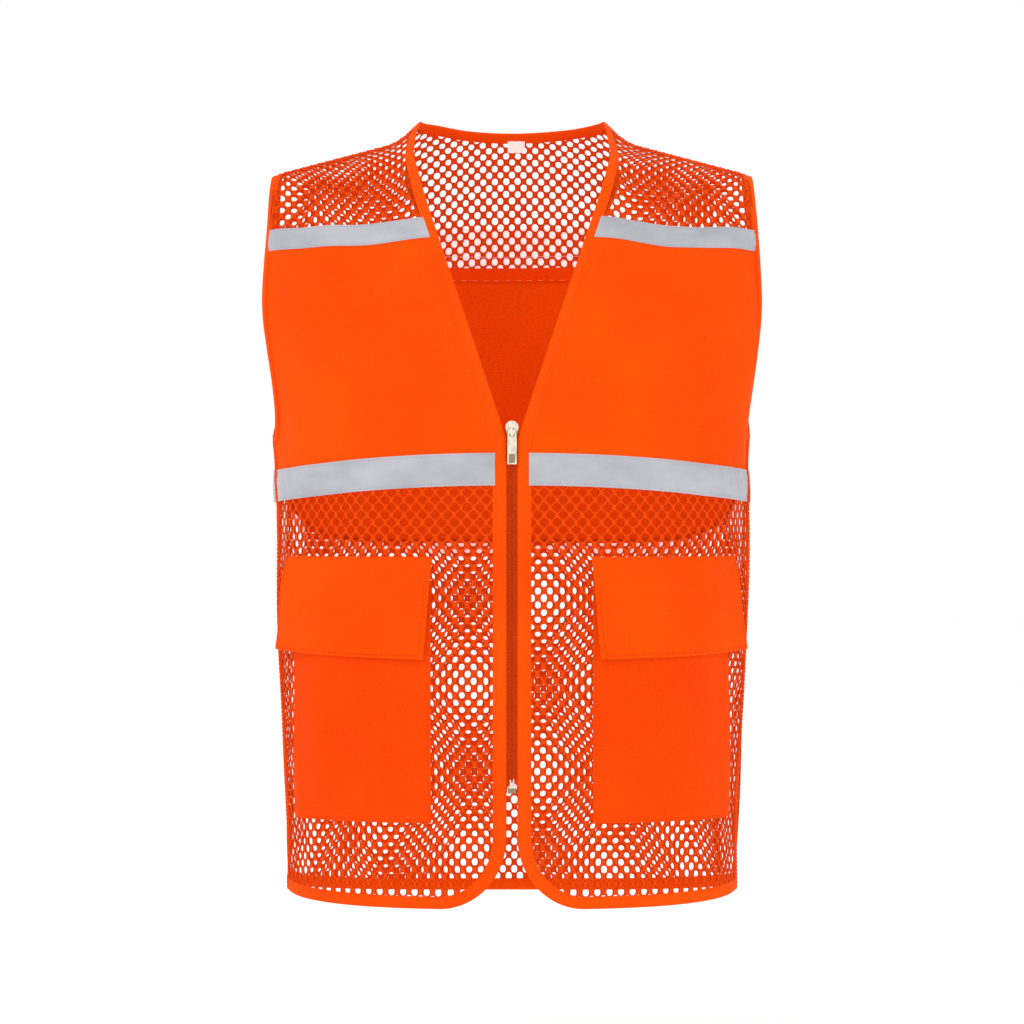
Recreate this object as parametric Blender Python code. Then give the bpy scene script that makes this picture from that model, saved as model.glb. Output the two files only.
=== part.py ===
"""High visibility vest: zipped mesh vest with woven chest panels, two flap pockets and reflective tapes.

Frame: +Z up, +X to the wearer's left, -Y to the wearer's front, metres. The vest keeps the shape it has
when it is worn, and the origin is below the neck, level with the lowest point of the back hem.
"""
import math

import bmesh
import bpy
from mathutils import Vector

# Body shape
HEM_HALF_WIDTH = 0.193          # half of the width at the hem
WAIST_HALF_WIDTH = 0.2020       # half of the width from the pockets up to the armholes
WAIST_Z = 0.30                  # height where the width has grown to that
YOKE_HALF_WIDTH = 0.2205        # half of the width that the chest section would have without armholes
CHEST_Z = 0.375                 # the width grows to that from here
CHEST_RUN = 0.15
FRONT_DEPTH = 0.145             # centre line to front
BACK_DEPTH = 0.135              # centre line to back
SQUARENESS = 2.4                # exponent of the body's section, 2 is an ellipse
SHOULDER_START = 0.45           # height where the chest starts to lean back to the shoulders
SHOULDER_RUN = 0.27             # length along the cloth from there to the shoulder seam
NECK_X = 0.078                  # neck point, beside the neck opening
SHOULDER_X = 0.2075             # shoulder tip
SHOULDER_Z = 0.6545             # height of the shoulder line where it bends up to the neck
SHOULDER_BEND_X = 0.109
SHOULDER_SLOPE = 0.26
NECK_RISE = 15.5                # how fast the shoulder line rises to the neck, 1 / m
NECK_RISE_X = 0.109
NECK_CROWN = 0.0240             # rise of the back's curve between the neck points
NECK_BULGE = 0.003              # how full that curve is
NECK_BACK = 0.0620              # how far the neck opening reaches behind the shoulder seams
SHOULDER_SEAM_HALF = 0.0080     # half of the shoulder seam's width

# Seams and edges
SIDE_SEAM = 80.0                # degrees round the body from the centre front
BACK_START = SIDE_SEAM + 1.6    # where the back's pieces begin
ARMHOLE_Z = 0.405               # lowest point of the armhole, on the side seam
ARMHOLE_ROUND = 0.09            # height of the armhole's round bottom
ARMHOLE_FRONT = 7.0             # degrees that the armhole cuts into the front
ARMHOLE_BACK = 27.0             # degrees that the armhole cuts into the back
YOKE_SEAM_Z = 0.5785            # seam between chest panel and yoke mesh, front
YOKE_SEAM_RISE = 0.006          # how much higher that seam is at the centre back
PLACKET_X = 0.0045              # edge of the cloth beside the zip
V_SLOPE = 0.336                 # sideways run of the V neck for each metre of height
V_X = 0.0124                    # half of the V's width at V_Z
V_Z = 0.424
V_TOP_X = 0.0845                # half of the V's largest width, below the neck points
V_ROUND = 4.2                   # how fast its sides straighten up there, 1 / m
V_ROUND_RUN = 0.02
NECK_LEAN_Z = 0.645             # from here up the V's edges lean back in to the neck points
NECK_LEAN = 6.2                 # how fast, 1 / m
CORNER_RUN = 0.056              # rounded lower corner of each front, width
CORNER_RISE = 0.060             # and height
FRONT_HEM_Z = 0.011
SIDE_HEM_Z = 0.018
BINDING_WIDTH = 0.0090
PLACKET_WIDTH = 0.0115
BINDING_THICK = 0.0024
CLOTH_THICK = 0.0009
SEAM_GAP = 0.0005               # gap between neighbouring pieces
SLANT = 1.06                    # level width of the V's binding, for each width across it
PANEL_GAP = 0.0015              # half of the gap between two panels, under a tape
ARMHOLE_MARGIN = 0.0136         # from the front armhole's edge to the chest panel
JOINT_GAP = 0.0014              # half of the gap where a moving front meets the rest

# Reflective tapes
TAPE_WIDTH = 0.027
TAPE_THICK = 0.0005
TAPE_LIFT = 0.0017              # middle of the tape, outside the cloth
LOW_TAPE_FRONT_Z = 0.3755       # middle of the lower tape at the centre front
LOW_TAPE_SIDE_Z = 0.362
LOW_TAPE_BACK_Z = 0.316
LOW_TAPE_FRONT_POWER = 1.8      # the larger, the nearer to the side the tape bends
LOW_TAPE_BACK_POWER = 7.5
HIGH_TAPE_LOW_Z = 0.569         # edges of the upper tape, front
HIGH_TAPE_HIGH_Z = 0.587
HIGH_TAPE_DROP = 0.0068         # how much lower the upper tape and its seam are beside the armholes
DROP_START = 11.0               # degrees from the centre front where it begins to drop
DROP_RUN = 25.0
BACK_TAPE_RISE = 0.008          # how much higher the upper tape is at the centre back

# Pockets
POCKET_IN_X = 0.067             # edge beside the zip
POCKET_OUT_X = 0.183            # edge beside the side seam
POCKET_LOW_Z = 0.082
POCKET_MOUTH_Z = 0.284
POCKET_FOLD = 0.0050            # how far the pocket's cloth stands off the mesh
FLAP_TOP_Z = 0.303
FLAP_LOW_Z = 0.2215
FLAP_OVERHANG = 0.003
FLAP_FOLD = 0.0088
PATCH_LOW_Z = 0.226
PATCH_HIGH_Z = 0.246
PATCH_IN_X = 0.092
PATCH_OUT_X = 0.150

LABEL_LIFT = -0.0028            # inside the back neck
LABEL_LOW_Z = 0.661
LABEL_HIGH_Z = 0.670

# Zip
CHAIN_LOW_Z = 0.1135
CHAIN_HIGH_Z = 0.4120
COIL_IN_X = 0.0010
COIL_OUT_X = 0.0034
SLIDER_LOW_Z = 0.4040
SLIDER_HIGH_Z = 0.4155
SLIDER_HALF_WIDTH = 0.0054
SLIDER_FACE = 0.0016            # inner side of the slider's front plate, outside the cloth
SLIDER_REAR = 0.0024            # inner side of its back plate, behind the cloth
SLIDER_PLATE = 0.0010
PULL_AXIS_OUT = 0.0046          # pull's pin, outside the cloth
PULL_AXIS_Z = 0.4060
PULL_PIN_R = 0.0006
PULL_EYE_R = 0.0016
PULL_WIDTH = 0.0070
PULL_LENGTH = 0.0267
PULL_THICK = 0.0012

POWER = 2.0 / SQUARENESS
RIDGE_Q = SHOULDER_START + SHOULDER_RUN

ORANGE = (1.0, 0.090, 0.003)
BINDING_ORANGE = (1.0, 0.125, 0.007)
DARK_ORANGE = (0.50, 0.045, 0.003)
SILVER = (0.56, 0.56, 0.60)
METAL = (0.82, 0.74, 0.60)
WHITE = (0.85, 0.85, 0.85)


# ------------------------------------------------------------------ surface of the worn vest

def smooth(value):
    value = min(max(value, 0.0), 1.0)
    return value * value * (3.0 - 2.0 * value)


def mix(start, end, share):
    return start + (end - start) * share


def signed_power(value, power):
    return math.copysign(abs(value) ** power, value)


def ridge(x):
    """Height of the shoulder line at x, and between the neck points the top of the back's curve."""
    reach = max(abs(x), NECK_X)
    rise = max(0.0, NECK_RISE_X - reach)
    line = SHOULDER_Z - SHOULDER_SLOPE * (reach - SHOULDER_BEND_X) + NECK_RISE * rise * rise
    share = (min(abs(x), NECK_X) / NECK_X) ** 2
    return line + (1.0 - share) * (NECK_CROWN + NECK_BULGE * share)


def half_width(q):
    low = mix(HEM_HALF_WIDTH, WAIST_HALF_WIDTH, smooth(q / WAIST_Z))
    return mix(low, YOKE_HALF_WIDTH, smooth((q - CHEST_Z) / CHEST_RUN))


def surface(turn, q):
    """Point of the cloth: turn is degrees round the body from the centre front, q the way up the cloth."""
    angle = math.radians(turn)
    x = half_width(q) * signed_power(math.sin(angle), POWER)
    depth = FRONT_DEPTH if math.cos(angle) > 0.0 else BACK_DEPTH
    y = -depth * signed_power(math.cos(angle), POWER)
    if q <= SHOULDER_START:
        return Vector((x, y, q))
    lean = (q - SHOULDER_START) / SHOULDER_RUN * math.pi / 2.0
    return Vector((x, y * math.cos(lean), SHOULDER_START + (ridge(x) - SHOULDER_START) * math.sin(lean)))


def outward(turn, q):
    """Unit normal of the cloth, pointing away from the wearer."""
    across = surface(turn + 0.05, q) - surface(turn - 0.05, q)
    up = surface(turn, min(q + 0.0002, RIDGE_Q)) - surface(turn, q - 0.0002)
    return across.cross(up).normalized()


def turn_at(x, q):
    """The front's turn at a distance x from the middle."""
    share = min(max(x / half_width(q), 0.0), 1.0)
    return math.degrees(math.asin(share ** (1.0 / POWER)))


def q_at(turn, z):
    """The way up the cloth at a height z."""
    if z <= SHOULDER_START:
        return z
    q = z
    for _ in range(4):
        x = half_width(q) * signed_power(math.sin(math.radians(turn)), POWER)
        share = min((z - SHOULDER_START) / (ridge(x) - SHOULDER_START), 1.0)
        q = SHOULDER_START + SHOULDER_RUN * math.asin(share) * 2.0 / math.pi
    return q


def front_share(turn):
    """1 at the centre front, 0 at the sides, -1 at the centre back."""
    return math.cos(math.radians(turn))


def hem_z(turn):
    share = front_share(turn)
    if share > 0.0:
        return mix(FRONT_HEM_Z, SIDE_HEM_Z, (1.0 - share) ** 1.5)
    return SIDE_HEM_Z * (1.0 + share) ** 1.2


def low_tape_z(turn):
    side = abs(math.sin(math.radians(turn)))
    if front_share(turn) > 0.0:
        return mix(LOW_TAPE_FRONT_Z, LOW_TAPE_SIDE_Z, side ** LOW_TAPE_FRONT_POWER)
    return mix(LOW_TAPE_BACK_Z, LOW_TAPE_SIDE_Z, side ** LOW_TAPE_BACK_POWER)


def side_drop(turn):
    """How much lower the front's upper tape and seam are at this turn."""
    return HIGH_TAPE_DROP * smooth((turn - DROP_START) / DROP_RUN) if turn < 90.0 else 0.0


def yoke_seam_z(turn):
    return YOKE_SEAM_Z - side_drop(turn) + YOKE_SEAM_RISE * max(0.0, -front_share(turn))


def v_edge_x(z):
    """Half of the front opening's width: the V neck and the placket below it."""
    line = max(PLACKET_X, V_X + V_SLOPE * (z - V_Z))
    over = max(0.0, line - (V_TOP_X - V_ROUND_RUN))
    lean = max(0.0, z - NECK_LEAN_Z)
    return min(line - V_ROUND * over * over, V_TOP_X) - NECK_LEAN * lean * lean


def front_edge_x(z, margin=0.0):
    """The same, with the rounded lower corner, and a margin into the cloth."""
    if z >= FRONT_HEM_Z + CORNER_RISE:
        return v_edge_x(z) + margin
    run = CORNER_RUN - margin
    rise = CORNER_RISE - margin
    share = min((FRONT_HEM_Z + CORNER_RISE - z) / rise, 1.0)
    return PLACKET_X + CORNER_RUN - run * math.sqrt(1.0 - share * share)


def back_neck_q(x, margin=0.0):
    """The back neck's edge, half an ellipse seen from above, and with a margin into the cloth."""
    share = min(abs(x) / (NECK_X + margin), 1.0)
    depth = (NECK_BACK + margin) * math.sqrt(1.0 - share * share)
    wide = math.cos(math.radians(turn_at(abs(x), RIDGE_Q))) ** POWER
    return SHOULDER_START + SHOULDER_RUN * math.acos(depth / (BACK_DEPTH * wide)) * 2.0 / math.pi


def pace(turn, q):
    """Length of cloth for each degree round the body."""
    return (surface(turn + 0.5, q) - surface(turn - 0.5, q)).length


def armhole_top(margin):
    return turn_at(SHOULDER_X - margin, RIDGE_Q)


def armhole_turn(q, back=False, margin=0.0):
    """The armhole's edge at q, and with a margin into the cloth the panel's edge."""
    wide = margin / pace(SIDE_SEAM - ARMHOLE_FRONT, min(q, SHOULDER_START + SHOULDER_RUN / 3.0))
    share = min(max((q - ARMHOLE_Z + margin) / (ARMHOLE_ROUND + margin), 0.0), 1.0)
    round_off = math.sqrt(1.0 - (1.0 - share) ** 2)
    rise = smooth((q - ARMHOLE_Z - ARMHOLE_ROUND) / (RIDGE_Q - ARMHOLE_Z - ARMHOLE_ROUND))
    if back:
        low = SIDE_SEAM + (ARMHOLE_BACK + wide) * round_off
        return mix(low, 180.0 - armhole_top(margin), rise)
    low = SIDE_SEAM - (ARMHOLE_FRONT + wide) * round_off
    return mix(low, armhole_top(margin), rise)


# ------------------------------------------------------------------ mesh helpers

def clear_scene():
    for thing in list(bpy.data.objects):
        bpy.data.objects.remove(thing, do_unlink=True)


def finish(thing, colour, roughness, metallic=0.0):
    material = bpy.data.materials.new(thing.name + "_finish")
    material.use_nodes = True
    shader = material.node_tree.nodes["Principled BSDF"]
    shader.inputs["Base Color"].default_value = (*colour, 1.0)
    shader.inputs["Roughness"].default_value = roughness
    shader.inputs["Metallic"].default_value = metallic
    thing.data.materials.append(material)


def add_object(name, bm, colour, roughness, metallic=0.0, pivot=(0.0, 0.0, 0.0)):
    """Make the object, with its origin on its joint's axis."""
    bmesh.ops.recalc_face_normals(bm, faces=bm.faces)
    bmesh.ops.translate(bm, vec=-Vector(pivot), verts=bm.verts)
    mesh = bpy.data.meshes.new(name)
    bm.to_mesh(mesh)
    bm.free()
    mesh.shade_smooth()
    mesh.set_sharp_from_angle(angle=math.radians(35.0))
    thing = bpy.data.objects.new(name, mesh)
    thing.location = pivot
    bpy.context.scene.collection.objects.link(thing)
    finish(thing, colour, roughness, metallic)
    return thing


def slab(rows, thick):
    """Closed solid round a grid of (point, normal, lift) rows."""
    bm = bmesh.new()
    sides = []
    for sign in (0.5, -0.5):
        sides.append([[bm.verts.new(p + n * (lift + sign * thick)) for p, n, lift in row] for row in rows])
    outer, inner = sides
    last_row = len(rows) - 1
    last_col = len(rows[0]) - 1
    for i in range(last_row):
        for j in range(last_col):
            bm.faces.new((outer[i][j], outer[i][j + 1], outer[i + 1][j + 1], outer[i + 1][j]))
            bm.faces.new((inner[i][j], inner[i + 1][j], inner[i + 1][j + 1], inner[i][j + 1]))
    for i in range(last_row):
        for j in (0, last_col):
            bm.faces.new((outer[i][j], outer[i + 1][j], inner[i + 1][j], inner[i][j]))
    for j in range(last_col):
        for i in (0, last_row):
            bm.faces.new((outer[i][j], outer[i][j + 1], inner[i][j + 1], inner[i][j]))
    return bm


def side_of(turn, side):
    """Mirror a turn to the wearer's right, where side is -1."""
    return turn * side


def cloth_point(turn, q, side, lift=0.0):
    angle = side_of(turn, side)
    return (surface(angle, q), outward(angle, q), lift)


def panel(side, columns, rows, left, right, low, high, lift=lambda u, v: 0.0, crowd=1.0):
    """Grid between heights low(turn) and high(turn), and between turns left(z, q) and right(z, q).

    A crowd above 1 puts more of the rows near the low edge."""
    grid = []
    for i in range(rows + 1):
        v = (i / rows) ** crowd
        line = []
        for j in range(columns + 1):
            u = j / columns
            turn = mix(left(low(60.0), low(60.0)), right(low(60.0), low(60.0)), u)
            for _ in range(6):
                q = mix(q_at(turn, low(turn)), q_at(turn, high(turn)), v)
                z = surface(turn, q).z
                turn = mix(left(z, q), right(z, q), u)
            line.append(cloth_point(turn, q, side, lift(u, v)))
        grid.append(line)
    return grid


def strip(path, side, width, inward):
    """Grid of two columns along a path of (turn, q): its edge, and a line a width into the cloth."""
    points = [surface(turn, q) for turn, q in path]
    grid = []
    for i, (turn, q) in enumerate(path):
        along = points[min(i + 1, len(path) - 1)] - points[max(i - 1, 0)]
        normal = outward(turn, q)
        across = normal.cross(along).normalized() * inward
        far = points[i] + across * (width(i / (len(path) - 1)) if callable(width) else width)
        row = []
        for point in (points[i], far):
            row.append((Vector((point.x * side, point.y, point.z)),
                        Vector((normal.x * side, normal.y, normal.z)), 0.0))
        grid.append(row)
    return grid


def box(bm, low, high):
    """Add a box to bm."""
    made = bmesh.ops.create_cube(bm, size=1.0)["verts"]
    size = Vector(high) - Vector(low)
    middle = (Vector(high) + Vector(low)) / 2.0
    bmesh.ops.scale(bm, vec=size, verts=made)
    bmesh.ops.translate(bm, vec=middle, verts=made)


def rod(bm, middle, radius, length, segments):
    """Add a closed rod along X to bm."""
    made = bmesh.ops.create_cone(bm, cap_ends=True, segments=segments, radius1=radius, radius2=radius,
                                 depth=length)["verts"]
    for vert in made:
        vert.co = Vector((vert.co.z, vert.co.y, -vert.co.x)) + Vector(middle)


def join(name, pieces, colour, roughness, metallic, pivot, cutters=()):
    """Boolean union of closed pieces, less the cutters."""
    whole = add_object(name, pieces[0], colour, roughness, metallic, pivot)
    tools = [("UNION", bm) for bm in pieces[1:]] + [("DIFFERENCE", bm) for bm in cutters]
    for index, (operation, bm) in enumerate(tools):
        tool = add_object(f"{name}_tool_{index}", bm, colour, roughness)
        tool.hide_render = True
        tool.display_type = "WIRE"
        modifier = whole.modifiers.new(f"{operation}_{index}", "BOOLEAN")
        modifier.operation = operation
        modifier.object = tool
    return whole


# ------------------------------------------------------------------ joints' axes

HINGE = surface(SIDE_SEAM, 0.30) + outward(SIDE_SEAM, 0.30) * 0.0022


def hinge_point(side):
    """On the vertical axis that a front swings about, beside its side seam."""
    return (HINGE.x * side, HINGE.y, 0.0)


def flap_axis():
    """Middle of the level axis of a flap, on the wearer's left, and its direction."""
    turns = [turn_at(x, FLAP_TOP_Z) for x in (POCKET_IN_X, POCKET_OUT_X)]
    ends = [surface(turn, FLAP_TOP_Z) for turn in turns]
    along = (ends[1] - ends[0]).normalized()
    out = Vector((along.y, -along.x, 0.0))
    reach = max((surface(mix(turns[0], turns[1], i / 20.0), FLAP_TOP_Z) - ends[0]).dot(out)
                for i in range(21))
    return (ends[0] + ends[1]) / 2.0 + out * (reach + 0.0022), along


FLAP_MIDDLE, FLAP_ALONG = flap_axis()


# ------------------------------------------------------------------ pieces of the back

def build_back():
    def back_left(z, q):
        return max(BACK_START, armhole_turn(q, True, ARMHOLE_MARGIN))

    def back_right(z, q):
        return 360.0 - back_left(z, q)

    def chest_low(turn):
        return low_tape_z(turn) + PANEL_GAP

    def chest_high(turn):
        return yoke_seam_z(turn) - PANEL_GAP

    grid = panel(1, 20, 10, back_left, back_right, chest_low, chest_high)
    add_object("back_chest_panel", slab(grid, CLOTH_THICK), ORANGE, 0.9)

    grid = panel(1, 20, 3, lambda z, q: BACK_START, lambda z, q: 360.0 - BACK_START,
                 lambda turn: hem_z(turn) + PLACKET_WIDTH + 2.0 * SEAM_GAP,
                 lambda turn: low_tape_z(turn) - PANEL_GAP)
    add_object("back_lower_mesh", slab(grid, CLOTH_THICK), ORANGE, 0.9)

    add_object("back_yoke_mesh", slab(back_yoke(), CLOTH_THICK), ORANGE, 0.9)

    tape = panel(1, 20, 1, lambda z, q: BACK_START, lambda z, q: 360.0 - BACK_START,
                 lambda turn: low_tape_z(turn) - TAPE_WIDTH / 2.0,
                 lambda turn: low_tape_z(turn) + TAPE_WIDTH / 2.0, lambda u, v: TAPE_LIFT)
    add_object("back_lower_tape", slab(tape, TAPE_THICK), SILVER, 0.5)

    def high_rise(turn):
        return BACK_TAPE_RISE * max(0.0, -front_share(turn))

    tape = panel(1, 22, 2, back_left, back_right,
                 lambda turn: HIGH_TAPE_LOW_Z + high_rise(turn) * 0.5,
                 lambda turn: HIGH_TAPE_HIGH_Z + high_rise(turn), lambda u, v: TAPE_LIFT)
    add_object("back_upper_tape", slab(tape, TAPE_THICK), SILVER, 0.5)

    turns = [mix(BACK_START, 360.0 - BACK_START, i / 24.0) for i in range(25)]
    hem = strip([(turn, hem_z(turn)) for turn in turns], 1, PLACKET_WIDTH, 1)
    add_object("back_hem_binding", slab(hem, BINDING_THICK), BINDING_ORANGE, 0.8)


def back_yoke():
    """From the upper tape to the shoulder seams and the back neck."""
    margin = BINDING_WIDTH + SEAM_GAP
    columns = 30
    rows = 5
    grid = []
    for i in range(rows + 1):
        v = i / rows
        line = []
        for j in range(columns + 1):
            u = j / columns
            turn = mix(107.0, 253.0, u)
            for _ in range(6):
                low = q_at(turn, yoke_seam_z(turn) + PANEL_GAP)
                q = mix(low, back_yoke_top(turn, margin), v)
                edge = armhole_turn(q, True, margin)
                turn = mix(edge, 360.0 - edge, u)
            line.append(cloth_point(turn, q, 1))
        grid.append(line)
    return grid


def back_yoke_top(turn, margin):
    """The way up the cloth to the shoulder seam, and between the neck points to the back neck."""
    x = abs(surface(turn, RIDGE_Q).x)
    return min(RIDGE_Q - SHOULDER_SEAM_HALF - 0.0008, back_neck_q(x, margin + 0.0014))


def shoulder_point(x, way):
    """(turn, q) on the shoulder at x. way is the distance from the seam, below 0 on the front."""
    q = RIDGE_Q - abs(way)
    turn = turn_at(x, q)
    return (turn, q) if way <= 0.0 else (180.0 - turn, q)


def build_neck():
    """Binding of the root's part of the V neck and of the back neck, and the label inside."""
    path = []
    for i in range(8):
        z = mix(YOKE_SEAM_Z + JOINT_GAP, ridge(NECK_X) - 0.004, i / 7.0)
        turn = turn_at(v_edge_x(z), RIDGE_Q)
        path.append((turn, q_at(turn, z)))
    path.append(shoulder_point(NECK_X, 0.0))
    for i in range(1, 10):
        x = NECK_X * math.cos(math.radians(9.0 * i))
        path.append((180.0 - turn_at(x, RIDGE_Q), back_neck_q(x)))
    half = strip(path, 1, BINDING_WIDTH, -1)
    other = [[(Vector((-p.x, p.y, p.z)), Vector((-n.x, n.y, n.z)), lift) for p, n, lift in row]
             for row in reversed(half)]
    rim = back_neck_q(0.0)
    down = (surface(180.0, rim) - surface(180.0, rim - 0.001)).length / 0.001
    middle = [cloth_point(180.0, rim, 1), cloth_point(180.0, rim - BINDING_WIDTH / down, 1)]
    add_object("neck_binding", slab(half + [middle] + other, BINDING_THICK), BINDING_ORANGE, 0.8)

    label = panel(1, 2, 2, lambda z, q: 180.0 - turn_at(0.0075, q), lambda z, q: 180.0 + turn_at(0.0075, q),
                  lambda turn: LABEL_LOW_Z, lambda turn: LABEL_HIGH_Z, lambda u, v: LABEL_LIFT)
    add_object("neck_label", slab(label, 0.0004), WHITE, 0.8)


def front_yoke(side):
    margin = SLANT * (BINDING_WIDTH + SEAM_GAP)
    rows = 5
    columns = 8
    grid = []
    for i in range(rows + 1):
        v = i / rows
        line = []
        for j in range(columns + 1):
            u = j / columns
            turn = mix(20.0, 60.0, u)
            for _ in range(6):
                q = mix(q_at(turn, yoke_seam_z(turn) + PANEL_GAP), RIDGE_Q - SHOULDER_SEAM_HALF - 0.0008, v)
                z = surface(turn, q).z
                inner = turn_at(v_edge_x(z) + margin, q)
                turn = mix(inner, armhole_turn(q, False, margin / SLANT), u)
            line.append(cloth_point(turn, q, side))
        grid.append(line)
    return grid


def build_shoulder(name, side):
    """Yoke mesh, shoulder seam, and the armhole's binding over the shoulder and down the back."""
    add_object(f"{name}_front_yoke_mesh", slab(front_yoke(side), CLOTH_THICK), ORANGE, 0.9)

    grid = []
    for i in range(9):
        x = mix(NECK_X + BINDING_WIDTH + 0.0012, SHOULDER_X - BINDING_WIDTH - 0.0012, i / 8.0)
        line = []
        for share in (-1.0, -1.0 / 3.0, 1.0 / 3.0, 1.0):
            turn, q = shoulder_point(x, share * SHOULDER_SEAM_HALF)
            line.append(cloth_point(turn, q, side))
        grid.append(line)
    add_object(f"{name}_shoulder_seam", slab(grid, 0.0020), ORANGE, 0.9)

    path = []
    start = q_at(armhole_turn(RIDGE_Q - 0.1), YOKE_SEAM_Z - HIGH_TAPE_DROP + JOINT_GAP)
    for i in range(6):
        q = mix(start, RIDGE_Q, i / 6.0)
        path.append((armhole_turn(q), q))
    path.append((armhole_turn(RIDGE_Q), RIDGE_Q))
    for i in range(1, 10):
        q = mix(RIDGE_Q, ARMHOLE_Z + ARMHOLE_ROUND, i / 9.0)
        path.append((armhole_turn(q, True), q))
    for i in range(1, 9):
        angle = math.radians(90.0 - i * 90.0 / 8.0)
        q = ARMHOLE_Z + ARMHOLE_ROUND * (1.0 - math.cos(angle))
        path.append((SIDE_SEAM + 1.4 + (ARMHOLE_BACK - 1.4) * math.sin(angle), q))
    binding = strip(path, side, BINDING_WIDTH, 1)
    add_object(f"{name}_armhole_binding", slab(binding, BINDING_THICK), BINDING_ORANGE, 0.8)

    seam = panel(side, 1, 12, lambda z, q: SIDE_SEAM + 0.35, lambda z, q: SIDE_SEAM + 1.25,
                 lambda turn: hem_z(turn) + 0.001, lambda turn: ARMHOLE_Z - 0.0105)
    add_object(f"{name}_side_seam", slab(seam, 0.0020), ORANGE, 0.9)


# ------------------------------------------------------------------ pieces of a front

def build_front(name, side):
    pivot = hinge_point(side)
    margin = SLANT * (BINDING_WIDTH + SEAM_GAP)
    placket = PLACKET_WIDTH + 2.0 * SEAM_GAP
    seam = SIDE_SEAM - 0.35

    def outer_edge(z, q):
        return min(seam, armhole_turn(q, False, ARMHOLE_MARGIN))

    def add_front(label, grid, thick, colour, roughness=0.9):
        add_object(f"{name}_{label}", slab(grid, thick), colour, roughness, 0.0, pivot)

    def v_margin(z):
        return mix(placket, margin, smooth((z - V_Z) / 0.035))

    chest = panel(side, 11, 10, lambda z, q: turn_at(v_edge_x(z) + v_margin(z), q), outer_edge,
                  lambda turn: low_tape_z(turn) + PANEL_GAP, lambda turn: yoke_seam_z(turn) - PANEL_GAP)
    add_front("chest_panel", chest, CLOTH_THICK, ORANGE)

    mesh = panel(side, 12, 8, lambda z, q: turn_at(front_edge_x(z, placket), q), lambda z, q: seam,
                 lambda turn: hem_z(turn) + placket, lambda turn: low_tape_z(turn) - PANEL_GAP, crowd=1.8)
    add_front("lower_mesh", mesh, CLOTH_THICK, ORANGE)

    tape = panel(side, 12, 1, lambda z, q: turn_at(PLACKET_X + placket, q), lambda z, q: seam,
                 lambda turn: low_tape_z(turn) - TAPE_WIDTH / 2.0,
                 lambda turn: low_tape_z(turn) + TAPE_WIDTH / 2.0, lambda u, v: TAPE_LIFT)
    add_front("lower_tape", tape, TAPE_THICK, SILVER, 0.5)

    tape = panel(side, 10, 1, lambda z, q: turn_at(v_edge_x(z) + margin + SEAM_GAP, q), outer_edge,
                 lambda turn: HIGH_TAPE_LOW_Z - side_drop(turn),
                 lambda turn: HIGH_TAPE_HIGH_Z - side_drop(turn), lambda u, v: TAPE_LIFT)
    add_front("upper_tape", tape, TAPE_THICK, SILVER, 0.5)

    add_front("front_binding", front_binding(side), BINDING_THICK, BINDING_ORANGE, 0.8)

    path = []
    for i in range(8):
        angle = math.radians(6.0 + i * 12.0)
        q = ARMHOLE_Z + ARMHOLE_ROUND * (1.0 - math.cos(angle))
        path.append((seam - ARMHOLE_FRONT * math.sin(angle) * (seam - 73.0) / 7.0, q))
    top = q_at(armhole_turn(RIDGE_Q - 0.1), YOKE_SEAM_Z - HIGH_TAPE_DROP - JOINT_GAP)
    for i in range(1, 5):
        q = mix(ARMHOLE_Z + ARMHOLE_ROUND, top, i / 4.0)
        path.append((armhole_turn(q), q))
    add_front("front_armhole_binding", strip(path, side, BINDING_WIDTH, 1), BINDING_THICK,
              BINDING_ORANGE, 0.8)
    build_pocket(name, side, pivot)
    build_zip_half(name, side, pivot)


def front_binding(side):
    """Down the V neck, the placket, round the lower corner and along the hem to the side seam."""
    path = []
    for i in range(7):
        z = mix(YOKE_SEAM_Z - JOINT_GAP, 0.425, i / 6.0)
        path.append((turn_at(v_edge_x(z), z), q_at(turn_at(v_edge_x(z), z), z)))
    for z in (0.412, 0.4005, 0.388, 0.30, 0.20, 0.12, FRONT_HEM_Z + CORNER_RISE):
        path.append((turn_at(v_edge_x(z), z), z))
    for i in range(1, 8):
        angle = math.radians(i * 90.0 / 8.0)
        z = FRONT_HEM_Z + CORNER_RISE * (1.0 - math.sin(angle))
        path.append((turn_at(PLACKET_X + CORNER_RUN * (1.0 - math.cos(angle)), z), z))
    start = turn_at(PLACKET_X + CORNER_RUN, FRONT_HEM_Z)
    for i in range(11):
        turn = mix(start, SIDE_SEAM - 0.35, i / 10.0)
        path.append((turn, hem_z(turn)))

    def width(share):
        return mix(BINDING_WIDTH, PLACKET_WIDTH, smooth((share - 0.15) / 0.08))

    return strip(path, side, width, 1)


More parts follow.
